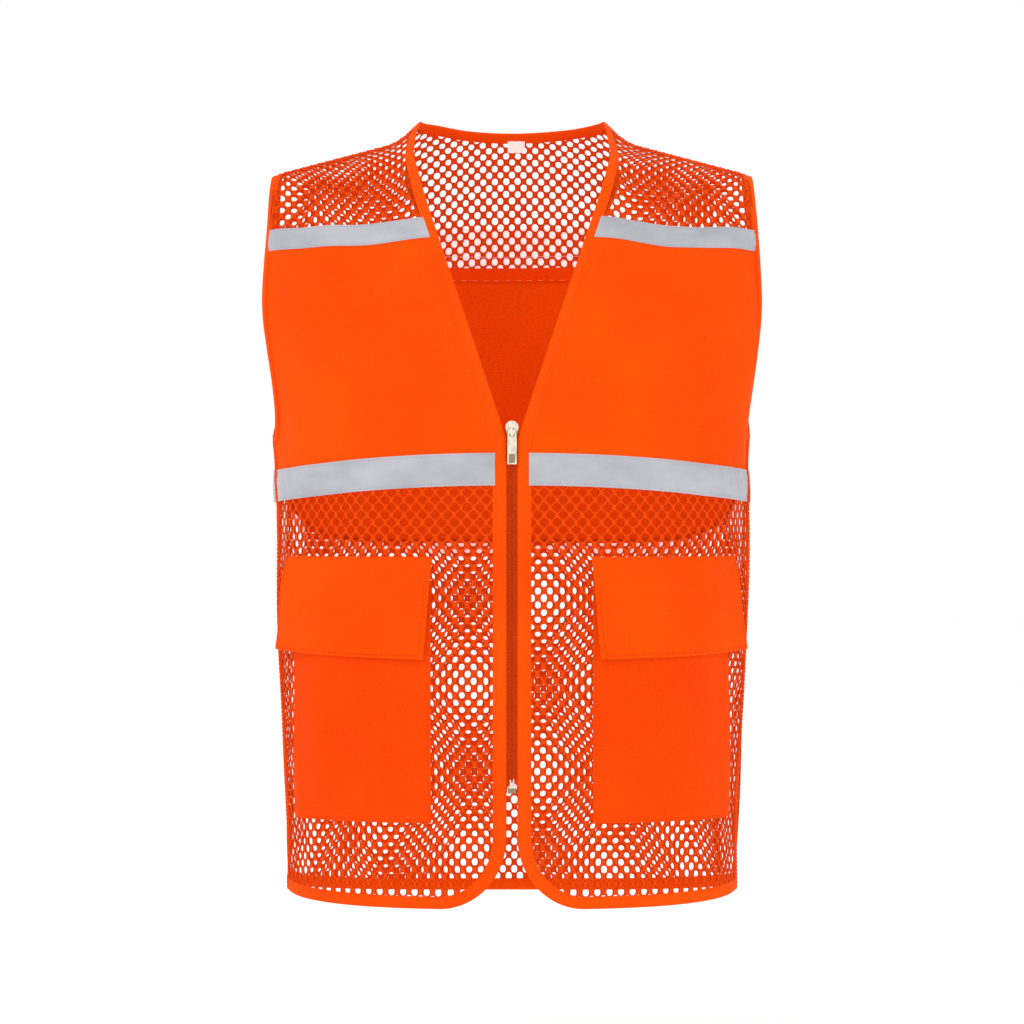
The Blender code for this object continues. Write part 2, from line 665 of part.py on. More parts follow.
def build_pocket(name, side, pivot):
    """A patch pocket whose cloth stands off the mesh, its flap, and the hook and loop that closes it."""
    def inner(z, q):
        return turn_at(POCKET_IN_X, q)

    def outer(z, q):
        return turn_at(POCKET_OUT_X, q)

    def pocket_lift(u, v):
        edge = min(u, 1.0 - u, v * 1.5) * 10.0
        return mix(0.0014, POCKET_FOLD, min(edge, 1.0))

    grid = panel(side, 10, 6, inner, outer, lambda turn: POCKET_LOW_Z, lambda turn: POCKET_MOUTH_Z,
                 pocket_lift)
    add_object(f"{name}_pocket", slab(grid, 0.0010), ORANGE, 0.9, 0.0, pivot)

    def patch(label, lift, body_pivot):
        grid = panel(side, 6, 1, lambda z, q: turn_at(PATCH_IN_X, q), lambda z, q: turn_at(PATCH_OUT_X, q),
                     lambda turn: PATCH_LOW_Z, lambda turn: PATCH_HIGH_Z, lambda u, v: lift)
        add_object(f"{name}_{label}", slab(grid, 0.0008), ORANGE, 0.95, 0.0, body_pivot)

    patch("pocket_loop_patch", POCKET_FOLD + 0.0013, pivot)

    flap_pivot = (FLAP_MIDDLE.x * side, FLAP_MIDDLE.y, FLAP_TOP_Z)
    patch("flap_hook_patch", POCKET_FOLD + 0.0025, flap_pivot)

    heights = (FLAP_LOW_Z, 0.245, 0.268, 0.2875, 0.2955, FLAP_TOP_Z)
    lifts = (FLAP_FOLD, FLAP_FOLD, FLAP_FOLD, FLAP_FOLD, FLAP_FOLD * 0.6, 0.0018)
    grid = []
    for z, lift in zip(heights, lifts):
        line = []
        for j in range(11):
            turn = mix(turn_at(POCKET_IN_X - FLAP_OVERHANG, z), turn_at(POCKET_OUT_X + FLAP_OVERHANG, z),
                       j / 10.0)
            line.append(cloth_point(turn, z, side, lift))
        grid.append(line)
    add_object(f"{name}_pocket_flap", slab(grid, 0.0012), ORANGE, 0.9, 0.0, flap_pivot)


# ------------------------------------------------------------------ zip

def block(low, high):
    bm = bmesh.new()
    box(bm, low, high)
    return bm


def zip_block(side, inner, outer, behind, ahead, low, high):
    """Box beside the centre line. inner and outer are distances from it, behind and ahead from the cloth."""
    xs = sorted((inner * side, outer * side))
    return block((xs[0], -FRONT_DEPTH - ahead, low), (xs[1], -FRONT_DEPTH - behind, high))


def build_zip_half(name, side, pivot):
    tape = panel(side, 1, 4, lambda z, q: turn_at(0.0037, q), lambda z, q: turn_at(0.0140, q),
                 lambda turn: CHAIN_LOW_Z + 0.001, lambda turn: 0.4110, lambda u, v: -0.0018)
    add_object(f"{name}_zip_tape", slab(tape, 0.0005), DARK_ORANGE, 0.9, 0.0, pivot)
    coil = zip_block(side, COIL_IN_X, COIL_OUT_X, -0.0012, 0.0006, CHAIN_LOW_Z, CHAIN_HIGH_Z)
    add_object(f"{name}_zip_coil", coil, DARK_ORANGE, 0.6, 0.0, pivot)
    stop = zip_block(side, COIL_IN_X, COIL_OUT_X + 0.0003, -0.0013, 0.0009, CHAIN_HIGH_Z + 0.0004,
                     CHAIN_HIGH_Z + 0.0040)
    add_object(f"{name}_top_stop", stop, METAL, 0.35, 1.0, pivot)


def build_zip_ends():
    """Pin of the left half, and the box of the right half that it stands in."""
    pin = zip_block(1, 0.0010, 0.0024, -0.0009, 0.0003, 0.1090, CHAIN_LOW_Z - 0.0003)
    add_object("insertion_pin", pin, METAL, 0.35, 1.0, hinge_point(1))
    body = block((-0.0042, -FRONT_DEPTH - 0.0016, 0.1075), (0.0036, -FRONT_DEPTH + 0.0022, 0.1130))
    room = block((-0.0004, -FRONT_DEPTH - 0.0009, 0.1084), (0.0050, -FRONT_DEPTH + 0.0015, 0.1150))
    join("retainer_box", [body], METAL, 0.35, 1.0, hinge_point(-1), [room])


def build_slider():
    """Two plates joined by a post between the coils, with lugs and a pin for the pull."""
    face = -FRONT_DEPTH - SLIDER_FACE
    rear = -FRONT_DEPTH + SLIDER_REAR
    wide = SLIDER_HALF_WIDTH
    pivot = (0.0, -FRONT_DEPTH, SLIDER_LOW_Z)
    front = block((-wide, face - SLIDER_PLATE, SLIDER_LOW_Z), (wide, face, SLIDER_HIGH_Z))
    back = block((-wide, rear, SLIDER_LOW_Z), (wide, rear + SLIDER_PLATE, SLIDER_HIGH_Z))
    post = block((-0.0007, face - 0.0003, SLIDER_HIGH_Z - 0.0045),
                 (0.0007, rear + 0.0003, SLIDER_HIGH_Z - 0.0003))
    pin_y = -FRONT_DEPTH - PULL_AXIS_OUT
    lugs = []
    for sign in (-1, 1):
        xs = sorted((sign * 0.0024, sign * 0.0034))
        lugs.append(block((xs[0], pin_y - 0.0011, PULL_AXIS_Z - 0.0012),
                          (xs[1], face - 0.0003, PULL_AXIS_Z + 0.0012)))
    pin = bmesh.new()
    rod(pin, (0.0, pin_y, PULL_AXIS_Z), PULL_PIN_R, 0.0056, 10)
    join("zip_slider", [front, back, post, *lugs, pin], METAL, 0.3, 1.0, pivot)

    pivot = (0.0, pin_y, PULL_AXIS_Z)
    eye = bmesh.new()
    rod(eye, pivot, PULL_EYE_R, 0.0040, 16)
    tab = block((-PULL_WIDTH / 2.0, pin_y - PULL_THICK / 2.0, PULL_AXIS_Z - PULL_LENGTH),
                (PULL_WIDTH / 2.0, pin_y + PULL_THICK / 2.0, PULL_AXIS_Z - 0.0034))
    neck = block((-0.0019, pin_y - PULL_THICK / 2.0 + 0.0001, PULL_AXIS_Z - 0.0044),
                 (0.0019, pin_y + PULL_THICK / 2.0 - 0.0001, PULL_AXIS_Z - 0.0008))
    bore = bmesh.new()
    rod(bore, pivot, PULL_PIN_R + 0.0003, 0.0100, 16)
    join("zip_pull", [eye, neck, tab], METAL, 0.3, 1.0, pivot, [bore])


def main():
    clear_scene()
    build_back()
    build_neck()
    for name, side in (("left", 1), ("right", -1)):
        build_shoulder(name, side)
        build_front(name, side)
    build_zip_ends()
    build_slider()


main()
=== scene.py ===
"""High visibility vest: net, woven panels, tapes, bindings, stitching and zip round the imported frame.

Everything lies on one formula of the worn cloth, the same as the CAD part's: turn is degrees round the body
from the centre front, positive towards +X, and q is the way up the cloth. Lengths are metres.
"""

import math

import bmesh
import bpy
import numpy as np
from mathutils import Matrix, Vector


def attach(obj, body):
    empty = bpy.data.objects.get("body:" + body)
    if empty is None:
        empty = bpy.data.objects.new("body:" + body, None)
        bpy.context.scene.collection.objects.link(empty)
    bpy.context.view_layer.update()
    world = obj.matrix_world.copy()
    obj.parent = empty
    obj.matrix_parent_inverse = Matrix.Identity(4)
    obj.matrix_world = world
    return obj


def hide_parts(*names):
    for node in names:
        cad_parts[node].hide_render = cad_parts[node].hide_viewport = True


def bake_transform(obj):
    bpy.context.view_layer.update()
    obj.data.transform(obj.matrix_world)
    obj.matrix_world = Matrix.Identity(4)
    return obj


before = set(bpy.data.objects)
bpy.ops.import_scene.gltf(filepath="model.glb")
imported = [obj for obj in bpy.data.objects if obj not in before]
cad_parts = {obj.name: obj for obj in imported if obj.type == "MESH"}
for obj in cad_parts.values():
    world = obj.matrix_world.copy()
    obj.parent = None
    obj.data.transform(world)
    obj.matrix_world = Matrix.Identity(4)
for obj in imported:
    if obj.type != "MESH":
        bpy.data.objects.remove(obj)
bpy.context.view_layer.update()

# Body shape, as in the CAD part
HEM_HALF_WIDTH = 0.193
WAIST_HALF_WIDTH = 0.2020
WAIST_Z = 0.30
YOKE_HALF_WIDTH = 0.2205
CHEST_Z = 0.375
CHEST_RUN = 0.15
FRONT_DEPTH = 0.145
BACK_DEPTH = 0.135
SQUARENESS = 2.4
SHOULDER_START = 0.45
SHOULDER_RUN = 0.27
NECK_X = 0.078
SHOULDER_X = 0.2075
SHOULDER_Z = 0.6545
SHOULDER_BEND_X = 0.109
SHOULDER_SLOPE = 0.26
NECK_RISE = 15.5
NECK_RISE_X = 0.109
NECK_CROWN = 0.0240
NECK_BULGE = 0.003
NECK_BACK = 0.0620
SHOULDER_SEAM_HALF = 0.0080
SIDE_SEAM = 80.0
FRONT_END = SIDE_SEAM - 0.3      # turns where the front's and the back's cloth end
BACK_START = SIDE_SEAM + 1.3
WELT_TURNS = (SIDE_SEAM - 0.9, SIDE_SEAM + 1.7)
ARMHOLE_Z = 0.405
ARMHOLE_ROUND = 0.09
ARMHOLE_FRONT = 7.0
ARMHOLE_BACK = 27.0
YOKE_SEAM_Z = 0.5785
YOKE_SEAM_RISE = 0.006
PLACKET_X = 0.0045
V_SLOPE = 0.336
V_X = 0.0124
V_Z = 0.424
V_TOP_X = 0.0845
V_ROUND = 4.2
V_ROUND_RUN = 0.02
NECK_LEAN_Z = 0.645
NECK_LEAN = 6.2
CORNER_RUN = 0.056
CORNER_RISE = 0.060
FRONT_HEM_Z = 0.011
SIDE_HEM_Z = 0.018
BINDING_WIDTH = 0.0090
BINDING_LAP = 0.004             # how far woven panels reach under a binding
NET_LAP = 0.0035                # the same for the yokes' net
TAPE_LAP = 0.002                # and for the tapes
NECK_BINDING_WIDTH = 0.0115
PLACKET_WIDTH = 0.0115
HEM_WIDTH = 0.0103
TAPE_WIDTH = 0.027
LOW_TAPE_FRONT_Z = 0.3755
LOW_TAPE_SIDE_Z = 0.362
LOW_TAPE_BACK_Z = 0.316
LOW_TAPE_FRONT_POWER = 1.8
LOW_TAPE_BACK_POWER = 7.5
HIGH_TAPE_LOW_Z = 0.569
HIGH_TAPE_HIGH_Z = 0.587
HIGH_TAPE_DROP = 0.0068
DROP_START = 11.0
DROP_RUN = 25.0
BACK_TAPE_RISE = 0.008
POCKET_IN_X = 0.067
POCKET_OUT_X = 0.183
POCKET_LOW_Z = 0.082
POCKET_MOUTH_Z = 0.284
FLAP_TOP_Z = 0.303
FLAP_LOW_Z = 0.2215
FLAP_OVERHANG = 0.003
CHAIN_LOW_Z = 0.1135
CHAIN_HIGH_Z = 0.4120
PULL_AXIS_OUT = 0.0046
PULL_AXIS_Z = 0.4060
SLIDER_FACE = 0.0016
SLIDER_REAR = 0.0024
SLIDER_THICK = 0.0011
# How far the painted shadow disc under the pull's head stands in front of the slider's front plate.
SHADOW_DISC_OUT = 0.0002
CROWN_R = 0.0054
CROWN_Z = 0.4101

POWER = 2.0 / SQUARENESS
RIDGE_Q = SHOULDER_START + SHOULDER_RUN

# Cloth
NET_PITCH = 0.0103              # holes of a row, in the yokes
LOWER_NET_PITCH = 0.0106        # the same below the lower tape
NET_ROWS = 0.0125               # two staggered rows
HOLE_HALF_WIDTH = 0.00282
HOLE_HALF_HEIGHT = 0.00335
HOLE_SQUARENESS = 0.9           # power of a hole's cosines: 1 is an ellipse
HOLE_INSET = 0.0012             # how far a hole stays from the net's outline
HOLE_SPREAD = 0.035             # how much the holes differ in size, and how far they stray
HOLE_STRAY = 0.00010
SMALLEST_FACE = 2e-9            # faces that the outline squeezes below this area are left out
NET_THICK = 0.0009
YARN_EDGE = 0.40                # yarn's thickness beside a hole, as a share of the full one
WOVEN_THICK = 0.0009
FOLD_HEIGHT = 0.0011            # of the broadest folds
CREASE_HEIGHT = 0.0007
BINDING_HALF = 0.0011
BINDING_STEP = 0.0028
BINDING_STITCH = 0.76           # stitches' place across a binding, as a share of its width
TAPE_HALF = 0.00028
TAPE_OUT = 0.00105
BACK_TAPE_OUT = 0.0024
TAPE_STITCH = 0.075             # stitches' place across a tape, as a share of its width
WRINKLE_HEIGHT = 0.00042        # across the tapes, beside the side seams
STITCH_PITCH = 0.0034
STITCH_LENGTH = 0.0025
STITCH_R = 0.00024
THREAD_SINK = 0.0001            # how deep a stitch sinks into a tape
WAVE_TURN = math.pi / 10.0      # a wave texture repeats after this length, at scale 1

ARC_Q = 0.26                    # height at which lengths round the body are taken
YOKE_START_Q = 0.50
YOKE_MIDDLE = 6                 # column of the yokes' tables that gives their pattern's length

# Pockets, band, label and zip
POCKET_WIDTH = 0.1345           # along the cloth
POCKET_HEIGHT = POCKET_MOUTH_Z - POCKET_LOW_Z
POCKET_PUFF = 0.0026
POCKET_STITCH = 0.0022
FLAP_STAND = 0.0068
FLAP_SPREAD = 0.0062            # how much wider the flap is at its foot, on the outer side
FLAP_STITCH = 0.0030            # stitches' distance from the flap's edge
FLAP_WIDTH = POCKET_WIDTH + 2.0 * FLAP_OVERHANG
FLAP_HEIGHT = FLAP_TOP_Z - FLAP_LOW_Z
PATCH_LOW_Z = 0.226
PATCH_HIGH_Z = 0.246
PATCH_IN_X = 0.092
PATCH_OUT_X = 0.150
BACK_PANEL_OUT = 0.0014
UNDERLAY_OUT = 0.00068
UNDERLAY_LOW_Z = 0.5580
BAND_LOW_Z = 0.5470
BAND_HIGH_Z = 0.5590
WHITE_ROW_Z = 0.5690
LABEL_LOW_Z = 0.6595
LABEL_HIGH_Z = 0.6680
LABEL_LEFT_X = 0.0112
LABEL_RIGHT_X = 0.0038
PULL_LENGTH = 0.0267
PULL_RECESS = 0.0003
TEETH_LOW_Z = 0.1185
ZIP_CLOTH_OUT_X = 0.0140
ZIP_CLOTH_LOW_Z = 0.1076
ZIP_CLOTH_HIGH_Z = 0.4118
BOX_LOW_Z = 0.1072
BOX_HIGH_Z = 0.1130
COLLAR_HEIGHT = 0.0014
TOOTH_PITCH = 0.00145
TOOTH_DEPTH = 0.00085           # half of a tooth's size, outwards and upwards
TOOTH_HEIGHT = 0.00043
METAL_EDGE = 38.0               # sharper edges than this aren't smoothed, in degrees

PHOTO_DISTANCE = 3.3
CAMERA_Z = 0.340
LENS = 134.1
FLOOR_Z = -0.16


# ------------------------------------------------------------------ surface of the worn cloth

def smooth(value):
    value = np.clip(value, 0.0, 1.0)
    return value * value * (3.0 - 2.0 * value)


def mix(start, end, share):
    return start + (end - start) * share


def signed_power(value, power):
    return np.copysign(np.abs(value) ** power, value)


def path_lengths(points):
    """Distance of each point from the first, along the points."""
    return np.concatenate([[0.0], np.cumsum(np.linalg.norm(np.diff(points, axis=0), axis=1))])


def ridge(x):
    reach = np.maximum(np.abs(x), NECK_X)
    rise = np.maximum(0.0, NECK_RISE_X - reach)
    line = SHOULDER_Z - SHOULDER_SLOPE * (reach - SHOULDER_BEND_X) + NECK_RISE * rise * rise
    share = (np.minimum(np.abs(x), NECK_X) / NECK_X) ** 2
    return line + (1.0 - share) * (NECK_CROWN + NECK_BULGE * share)


def half_width(q):
    low = mix(HEM_HALF_WIDTH, WAIST_HALF_WIDTH, smooth(q / WAIST_Z))
    return mix(low, YOKE_HALF_WIDTH, smooth((q - CHEST_Z) / CHEST_RUN))


def surface(turn, q):
    angle = np.radians(turn)
    q = q + 0.0 * angle
    x = half_width(q) * signed_power(np.sin(angle), POWER)
    depth = np.where(np.cos(angle) > 0.0, FRONT_DEPTH, BACK_DEPTH)
    y = -depth * signed_power(np.cos(angle), POWER)
    lean = np.maximum(q - SHOULDER_START, 0.0) / SHOULDER_RUN * math.pi / 2.0
    z = np.where(q <= SHOULDER_START, q, SHOULDER_START + (ridge(x) - SHOULDER_START) * np.sin(lean))
    return np.stack([x, y * np.cos(lean), z], -1)


def unit(v):
    return v / np.maximum(np.linalg.norm(v, axis=-1, keepdims=True), 1e-12)


def outward(turn, q):
    across = surface(turn + 0.05, q) - surface(turn - 0.05, q)
    up = surface(turn, np.minimum(q + 0.0002, RIDGE_Q)) - surface(turn, q - 0.0002)
    return unit(np.cross(across, up))


def turn_at(x, q):
    share = np.clip(x / half_width(q), 0.0, 1.0)
    return np.degrees(np.arcsin(share ** (1.0 / POWER)))


def q_at(turn, z):
    z = z + 0.0 * turn
    q = z
    for _ in range(4):
        x = half_width(q) * signed_power(np.sin(np.radians(turn)), POWER)
        share = np.clip((z - SHOULDER_START) / (ridge(x) - SHOULDER_START), 0.0, 1.0)
        q = np.where(z <= SHOULDER_START, z, SHOULDER_START + SHOULDER_RUN * np.arcsin(share) * 2.0 / math.pi)
    return q


def front_share(turn):
    return np.cos(np.radians(turn))


def hem_z(turn):
    share = front_share(turn)
    front = mix(FRONT_HEM_Z, SIDE_HEM_Z, np.clip(1.0 - share, 0.0, 1.0) ** 1.5)
    return np.where(share > 0.0, front, SIDE_HEM_Z * np.clip(1.0 + share, 0.0, 1.0) ** 1.2)


def low_tape_z(turn):
    side = np.abs(np.sin(np.radians(turn)))
    front = mix(LOW_TAPE_FRONT_Z, LOW_TAPE_SIDE_Z, side ** LOW_TAPE_FRONT_POWER)
    back = mix(LOW_TAPE_BACK_Z, LOW_TAPE_SIDE_Z, side ** LOW_TAPE_BACK_POWER)
    return np.where(front_share(turn) > 0.0, front, back)


def side_drop(turn):
    drop = HIGH_TAPE_DROP * smooth((np.abs(turn) - DROP_START) / DROP_RUN)
    return np.where(np.abs(turn) < 90.0, drop, 0.0)


def yoke_seam_z(turn):
    return YOKE_SEAM_Z - side_drop(turn) + YOKE_SEAM_RISE * np.maximum(0.0, -front_share(turn))


def high_tape_z(turn):
    """Lower and upper edge of the upper tape."""
    rise = BACK_TAPE_RISE * np.maximum(0.0, -front_share(turn))
    drop = side_drop(turn)
    return HIGH_TAPE_LOW_Z + rise * 0.5 - drop, HIGH_TAPE_HIGH_Z + rise - drop


def v_edge_x(z):
    line = np.maximum(PLACKET_X, V_X + V_SLOPE * (z - V_Z))
    over = np.maximum(0.0, line - (V_TOP_X - V_ROUND_RUN))
    lean = np.maximum(0.0, z - NECK_LEAN_Z)
    return np.minimum(line - V_ROUND * over * over, V_TOP_X) - NECK_LEAN * lean * lean


def front_edge_x(z, margin=0.0):
    share = np.clip((FRONT_HEM_Z + CORNER_RISE - z) / (CORNER_RISE - margin), 0.0, 1.0)
    corner = PLACKET_X + CORNER_RUN - (CORNER_RUN - margin) * np.sqrt(1.0 - share * share)
    return np.where(z >= FRONT_HEM_Z + CORNER_RISE, v_edge_x(z) + margin, corner)


def back_neck_q(x, margin=0.0):
    share = np.minimum(np.abs(x) / (NECK_X + margin), 1.0)
    depth = (NECK_BACK + margin) * np.sqrt(1.0 - share * share)
    wide = np.cos(np.radians(turn_at(np.abs(x), RIDGE_Q))) ** POWER
    return SHOULDER_START + SHOULDER_RUN * np.arccos(depth / (BACK_DEPTH * wide)) * 2.0 / math.pi


def pace(turn, q):
    return np.linalg.norm(surface(turn + 0.5, q) - surface(turn - 0.5, q), axis=-1)


def armhole_turn(q, back=False, margin=0.0):
    q = np.asarray(q, float)
    wide = margin / pace(SIDE_SEAM - ARMHOLE_FRONT, np.minimum(q, SHOULDER_START + SHOULDER_RUN / 3.0))
    share = np.clip((q - ARMHOLE_Z + margin) / (ARMHOLE_ROUND + margin), 0.0, 1.0)
    round_off = np.sqrt(1.0 - (1.0 - share) ** 2)
    rise = smooth((q - ARMHOLE_Z - ARMHOLE_ROUND) / (RIDGE_Q - ARMHOLE_Z - ARMHOLE_ROUND))
    top = turn_at(SHOULDER_X - margin, RIDGE_Q)
    if back:
        return mix(SIDE_SEAM + (ARMHOLE_BACK + wide) * round_off, 180.0 - top, rise)
    return mix(SIDE_SEAM - (ARMHOLE_FRONT + wide) * round_off, top, rise)


ARC_TURNS = np.linspace(0.0, 180.0, 1441)
ARC_LENGTHS = path_lengths(surface(ARC_TURNS, ARC_Q + 0.0 * ARC_TURNS))
HALF_ROUND = float(ARC_LENGTHS[-1])

YOKE_Q = np.linspace(YOKE_START_Q, RIDGE_Q, 300)


def yoke_lengths(x, back):
    """Length of the yoke's cloth from YOKE_START_Q to each value of YOKE_Q, at a distance from the middle."""
    turn = turn_at(x, YOKE_Q)
    line = surface(180.0 - turn if back else turn, YOKE_Q)
    return path_lengths(line)


YOKE_X = np.linspace(0.0, 0.22, 45)
YOKE_TABLES = [np.array([yoke_lengths(x, back) for x in YOKE_X]) for back in (False, True)]


def yoke_q(x, length, back):
    """The q at a length of cloth above YOKE_START_Q, at a distance from the middle."""
    table = YOKE_TABLES[int(back)]
    place = np.clip(np.abs(x) / YOKE_X[1], 0.0, len(YOKE_X) - 1.001)
    column = place.astype(int)
    found = np.empty(len(x))
    for k in range(len(YOKE_X) - 1):
        here = column == k
        low = np.interp(length[here], table[k], YOKE_Q)
        high = np.interp(length[here], table[k + 1], YOKE_Q)
        found[here] = mix(low, high, place[here] - k)
    return found


def arc(turn):
    """Length of cloth from the centre front to a turn of 0 to 360 degrees."""
    turn = np.asarray(turn, float)
    near = np.interp(np.where(turn > 180.0, 360.0 - turn, turn), ARC_TURNS, ARC_LENGTHS)
    return np.where(turn > 180.0, 2.0 * HALF_ROUND - near, near)


def turn_of(length):
    """The turn, 0 to 360 degrees, at a length of cloth from the centre front."""
    length = np.asarray(length, float)
    near = np.interp(np.where(length > HALF_ROUND, 2.0 * HALF_ROUND - length, length), ARC_LENGTHS, ARC_TURNS)
    return np.where(length > HALF_ROUND, 360.0 - near, near)


def fold(turn, q):
    """How far the cloth stands off the plain shape: soft folds, and creases beside the body's sides."""
    angle = np.radians(turn)
    calm = smooth((np.abs(np.sin(angle)) - 0.10) / 0.25) + smooth((-np.cos(angle) - 0.2) / 0.4)
    calm = np.clip(calm, 0.0, 1.0) * smooth((RIDGE_Q - 0.012 - q) / 0.05) * smooth((q - 0.01) / 0.05)
    broad = FOLD_HEIGHT * np.sin(7.0 * angle + 11.0 * q + 0.8)
    broad += 0.0008 * np.cos(12.0 * angle - 23.0 * q + 2.1) + 0.0005 * np.sin(19.0 * angle + 37.0 * q)
    side = np.exp(-((np.abs(np.cos(angle)) - 0.42) / 0.20) ** 2)
    belt = np.exp(-((q - low_tape_z(turn)) / 0.035) ** 2)
    uneven = 0.6 + 0.4 * np.sin(90.0 * q + 5.0 * angle)
    crease = CREASE_HEIGHT * side * belt * np.sin(52.0 * angle + 170.0 * q) * uneven
    return calm * (broad + crease)


def cloth(turn, q, lift=0.0):
    """Point of the folded cloth, and its outward normal."""
    normal = outward(turn, q)
    return surface(turn, q) + normal * (lift + fold(turn, q))[..., None], normal


# ------------------------------------------------------------------ meshes


def add_object(name, data):
    thing = bpy.data.objects.new(name, data)
    bpy.context.scene.collection.objects.link(thing)
    return thing


def make_mesh(name, points, faces, uv=None, edge=None, smooth_angle=50.0):
    """Mesh object of quads, given as an array, with the cloth's own length and height as its UV map."""
    mesh = bpy.data.meshes.new(name)
    faces = np.asarray(faces, np.int32)
    count, sides = faces.shape
    mesh.vertices.add(len(points))
    mesh.vertices.foreach_set("co", np.asarray(points, np.float32).ravel())
    mesh.loops.add(count * sides)
    mesh.loops.foreach_set("vertex_index", faces.ravel())
    mesh.polygons.add(count)
    mesh.polygons.foreach_set("loop_start", np.arange(0, count * sides, sides, dtype=np.int32))
    mesh.update(calc_edges=True)
    if uv is not None:
        layer = mesh.uv_layers.new(name="cloth")
        layer.data.foreach_set("uv", np.asarray(uv, np.float32)[faces.ravel()].ravel())
    if edge is not None:
        mesh.attributes.new("edge", "FLOAT", "POINT").data.foreach_set("value", np.asarray(edge, np.float32))
    mesh.shade_smooth()
    mesh.set_sharp_from_angle(angle=math.radians(smooth_angle))
    return add_object(name, mesh)


def thicken(points, normals, half, faces, back_half=None):
    """Close a sheet of quads to a solid: two layers, and a wall along every open edge."""
    half = np.broadcast_to(np.asarray(half, float), (len(points),))[:, None]
    back_half = half if back_half is None else np.broadcast_to(back_half, (len(points),))[:, None]
    both = np.concatenate([points + normals * half, points - normals * back_half])
    n = len(points)
    start, end = faces, np.roll(faces, -1, axis=1)
    code = (start.astype(np.int64) * n + end).ravel()
    reverse = (end.astype(np.int64) * n + start).ravel()
    open_edge = ~np.isin(code, reverse)
    a, b = start.ravel()[open_edge], end.ravel()[open_edge]
    wall = np.stack([b, a, a + n, b + n], 1)
    return both, np.concatenate([faces, faces[:, ::-1] + n, wall])


def grid_faces(rows, columns, flip=False, closed=False):
    """Quads of a grid of rows x columns points, row by row. A closed grid's last column joins its first."""
    i, j = np.meshgrid(np.arange(rows - 1), np.arange(columns if closed else columns - 1), indexing="ij")
    k = (j + 1) % columns
    quads = np.stack([i * columns + j, i * columns + k, (i + 1) * columns + k, (i + 1) * columns + j], -1)
    quads = quads.reshape(-1, 4)
    return quads[:, ::-1] if flip else quads


def shares(steps):
    return np.linspace(0.0, 1.0, steps + 1) if isinstance(steps, int) else steps


def hemmed_shares(length, steps, start=True, end=True):
    """Shares of a length, with fine steps over its turned and stitched edges."""
    fine = np.arange(0.0, 0.0115, 0.0007) / length
    middle = np.linspace(fine[-1] if start else 0.0, 1.0 - fine[-1] if end else 1.0, steps + 1)
    parts = [fine[:-1]] if start else []
    parts.append(middle)
    if end:
        parts.append(1.0 - fine[:-1][::-1])
    return np.concatenate(parts)


def level(z):
    """An edge of a cloth_grid at one height."""
    return lambda turn: z + 0.0 * turn


def beside(x):
    """An edge of a cloth_grid at one distance from the middle."""
    return lambda z, q: turn_at(x, q)


def mirrored(edge):
    """The other side's edge of a cloth_grid that spans the back."""
    return lambda z, q: 360.0 - edge(z, q)


def cloth_grid(columns, rows, left, right, low, high):
    """Turns and q between heights low(turn) and high(turn), and turns left(z, q) and right(z, q).

    columns and rows are numbers of steps, or the steps' own shares."""
    u = shares(columns)[None, :]
    v = shares(rows)[:, None]
    turn = mix(left(0.3, 0.3), right(0.3, 0.3), u) + 0.0 * v
    for _ in range(16):
        q = mix(q_at(turn, low(turn)), q_at(turn, high(turn)), v)
        z = surface(turn, q)[..., 2]
        turn = mix(turn, mix(left(z, q), right(z, q), u), 0.6)
    return turn, q


def lay_sheet(name, turn, q, side, half, lift=0.0, material=None, backing=None):
    """A woven sheet on a grid of the cloth. On the wearer's right, side is -1."""
    rows, columns = turn.shape
    points, normals = cloth(turn * side, q, lift + 0.0 * turn)
    faces = grid_faces(rows, columns, flip=side < 0)
    solid, quads = thicken(points.reshape(-1, 3), normals.reshape(-1, 3), half, faces)
    uv = np.stack([arc(turn), q], -1).reshape(-1, 2)
    thing = make_mesh(name, solid, quads, np.concatenate([uv, uv]))
    thing.data.materials.append(material)
    if backing is not None:
        thing.data.materials.append(backing)
        index = np.zeros(len(quads), np.int32)
        index[len(faces):2 * len(faces)] = 1
        thing.data.polygons.foreach_set("material_index", index)
    return thing


def on_body(length, height):
    """Turn and q of a point of the lower nets' pattern."""
    return turn_of(np.clip(length, 0.0, 2.0 * HALF_ROUND)), height


def on_front_yoke(x, length):
    q = yoke_q(x, length, False)
    return turn_at(np.maximum(x, 0.0), q), q


def on_back_yoke(x, length):
    q = yoke_q(x, length, True)
    return 180.0 - np.copysign(turn_at(np.abs(x), q), x), q


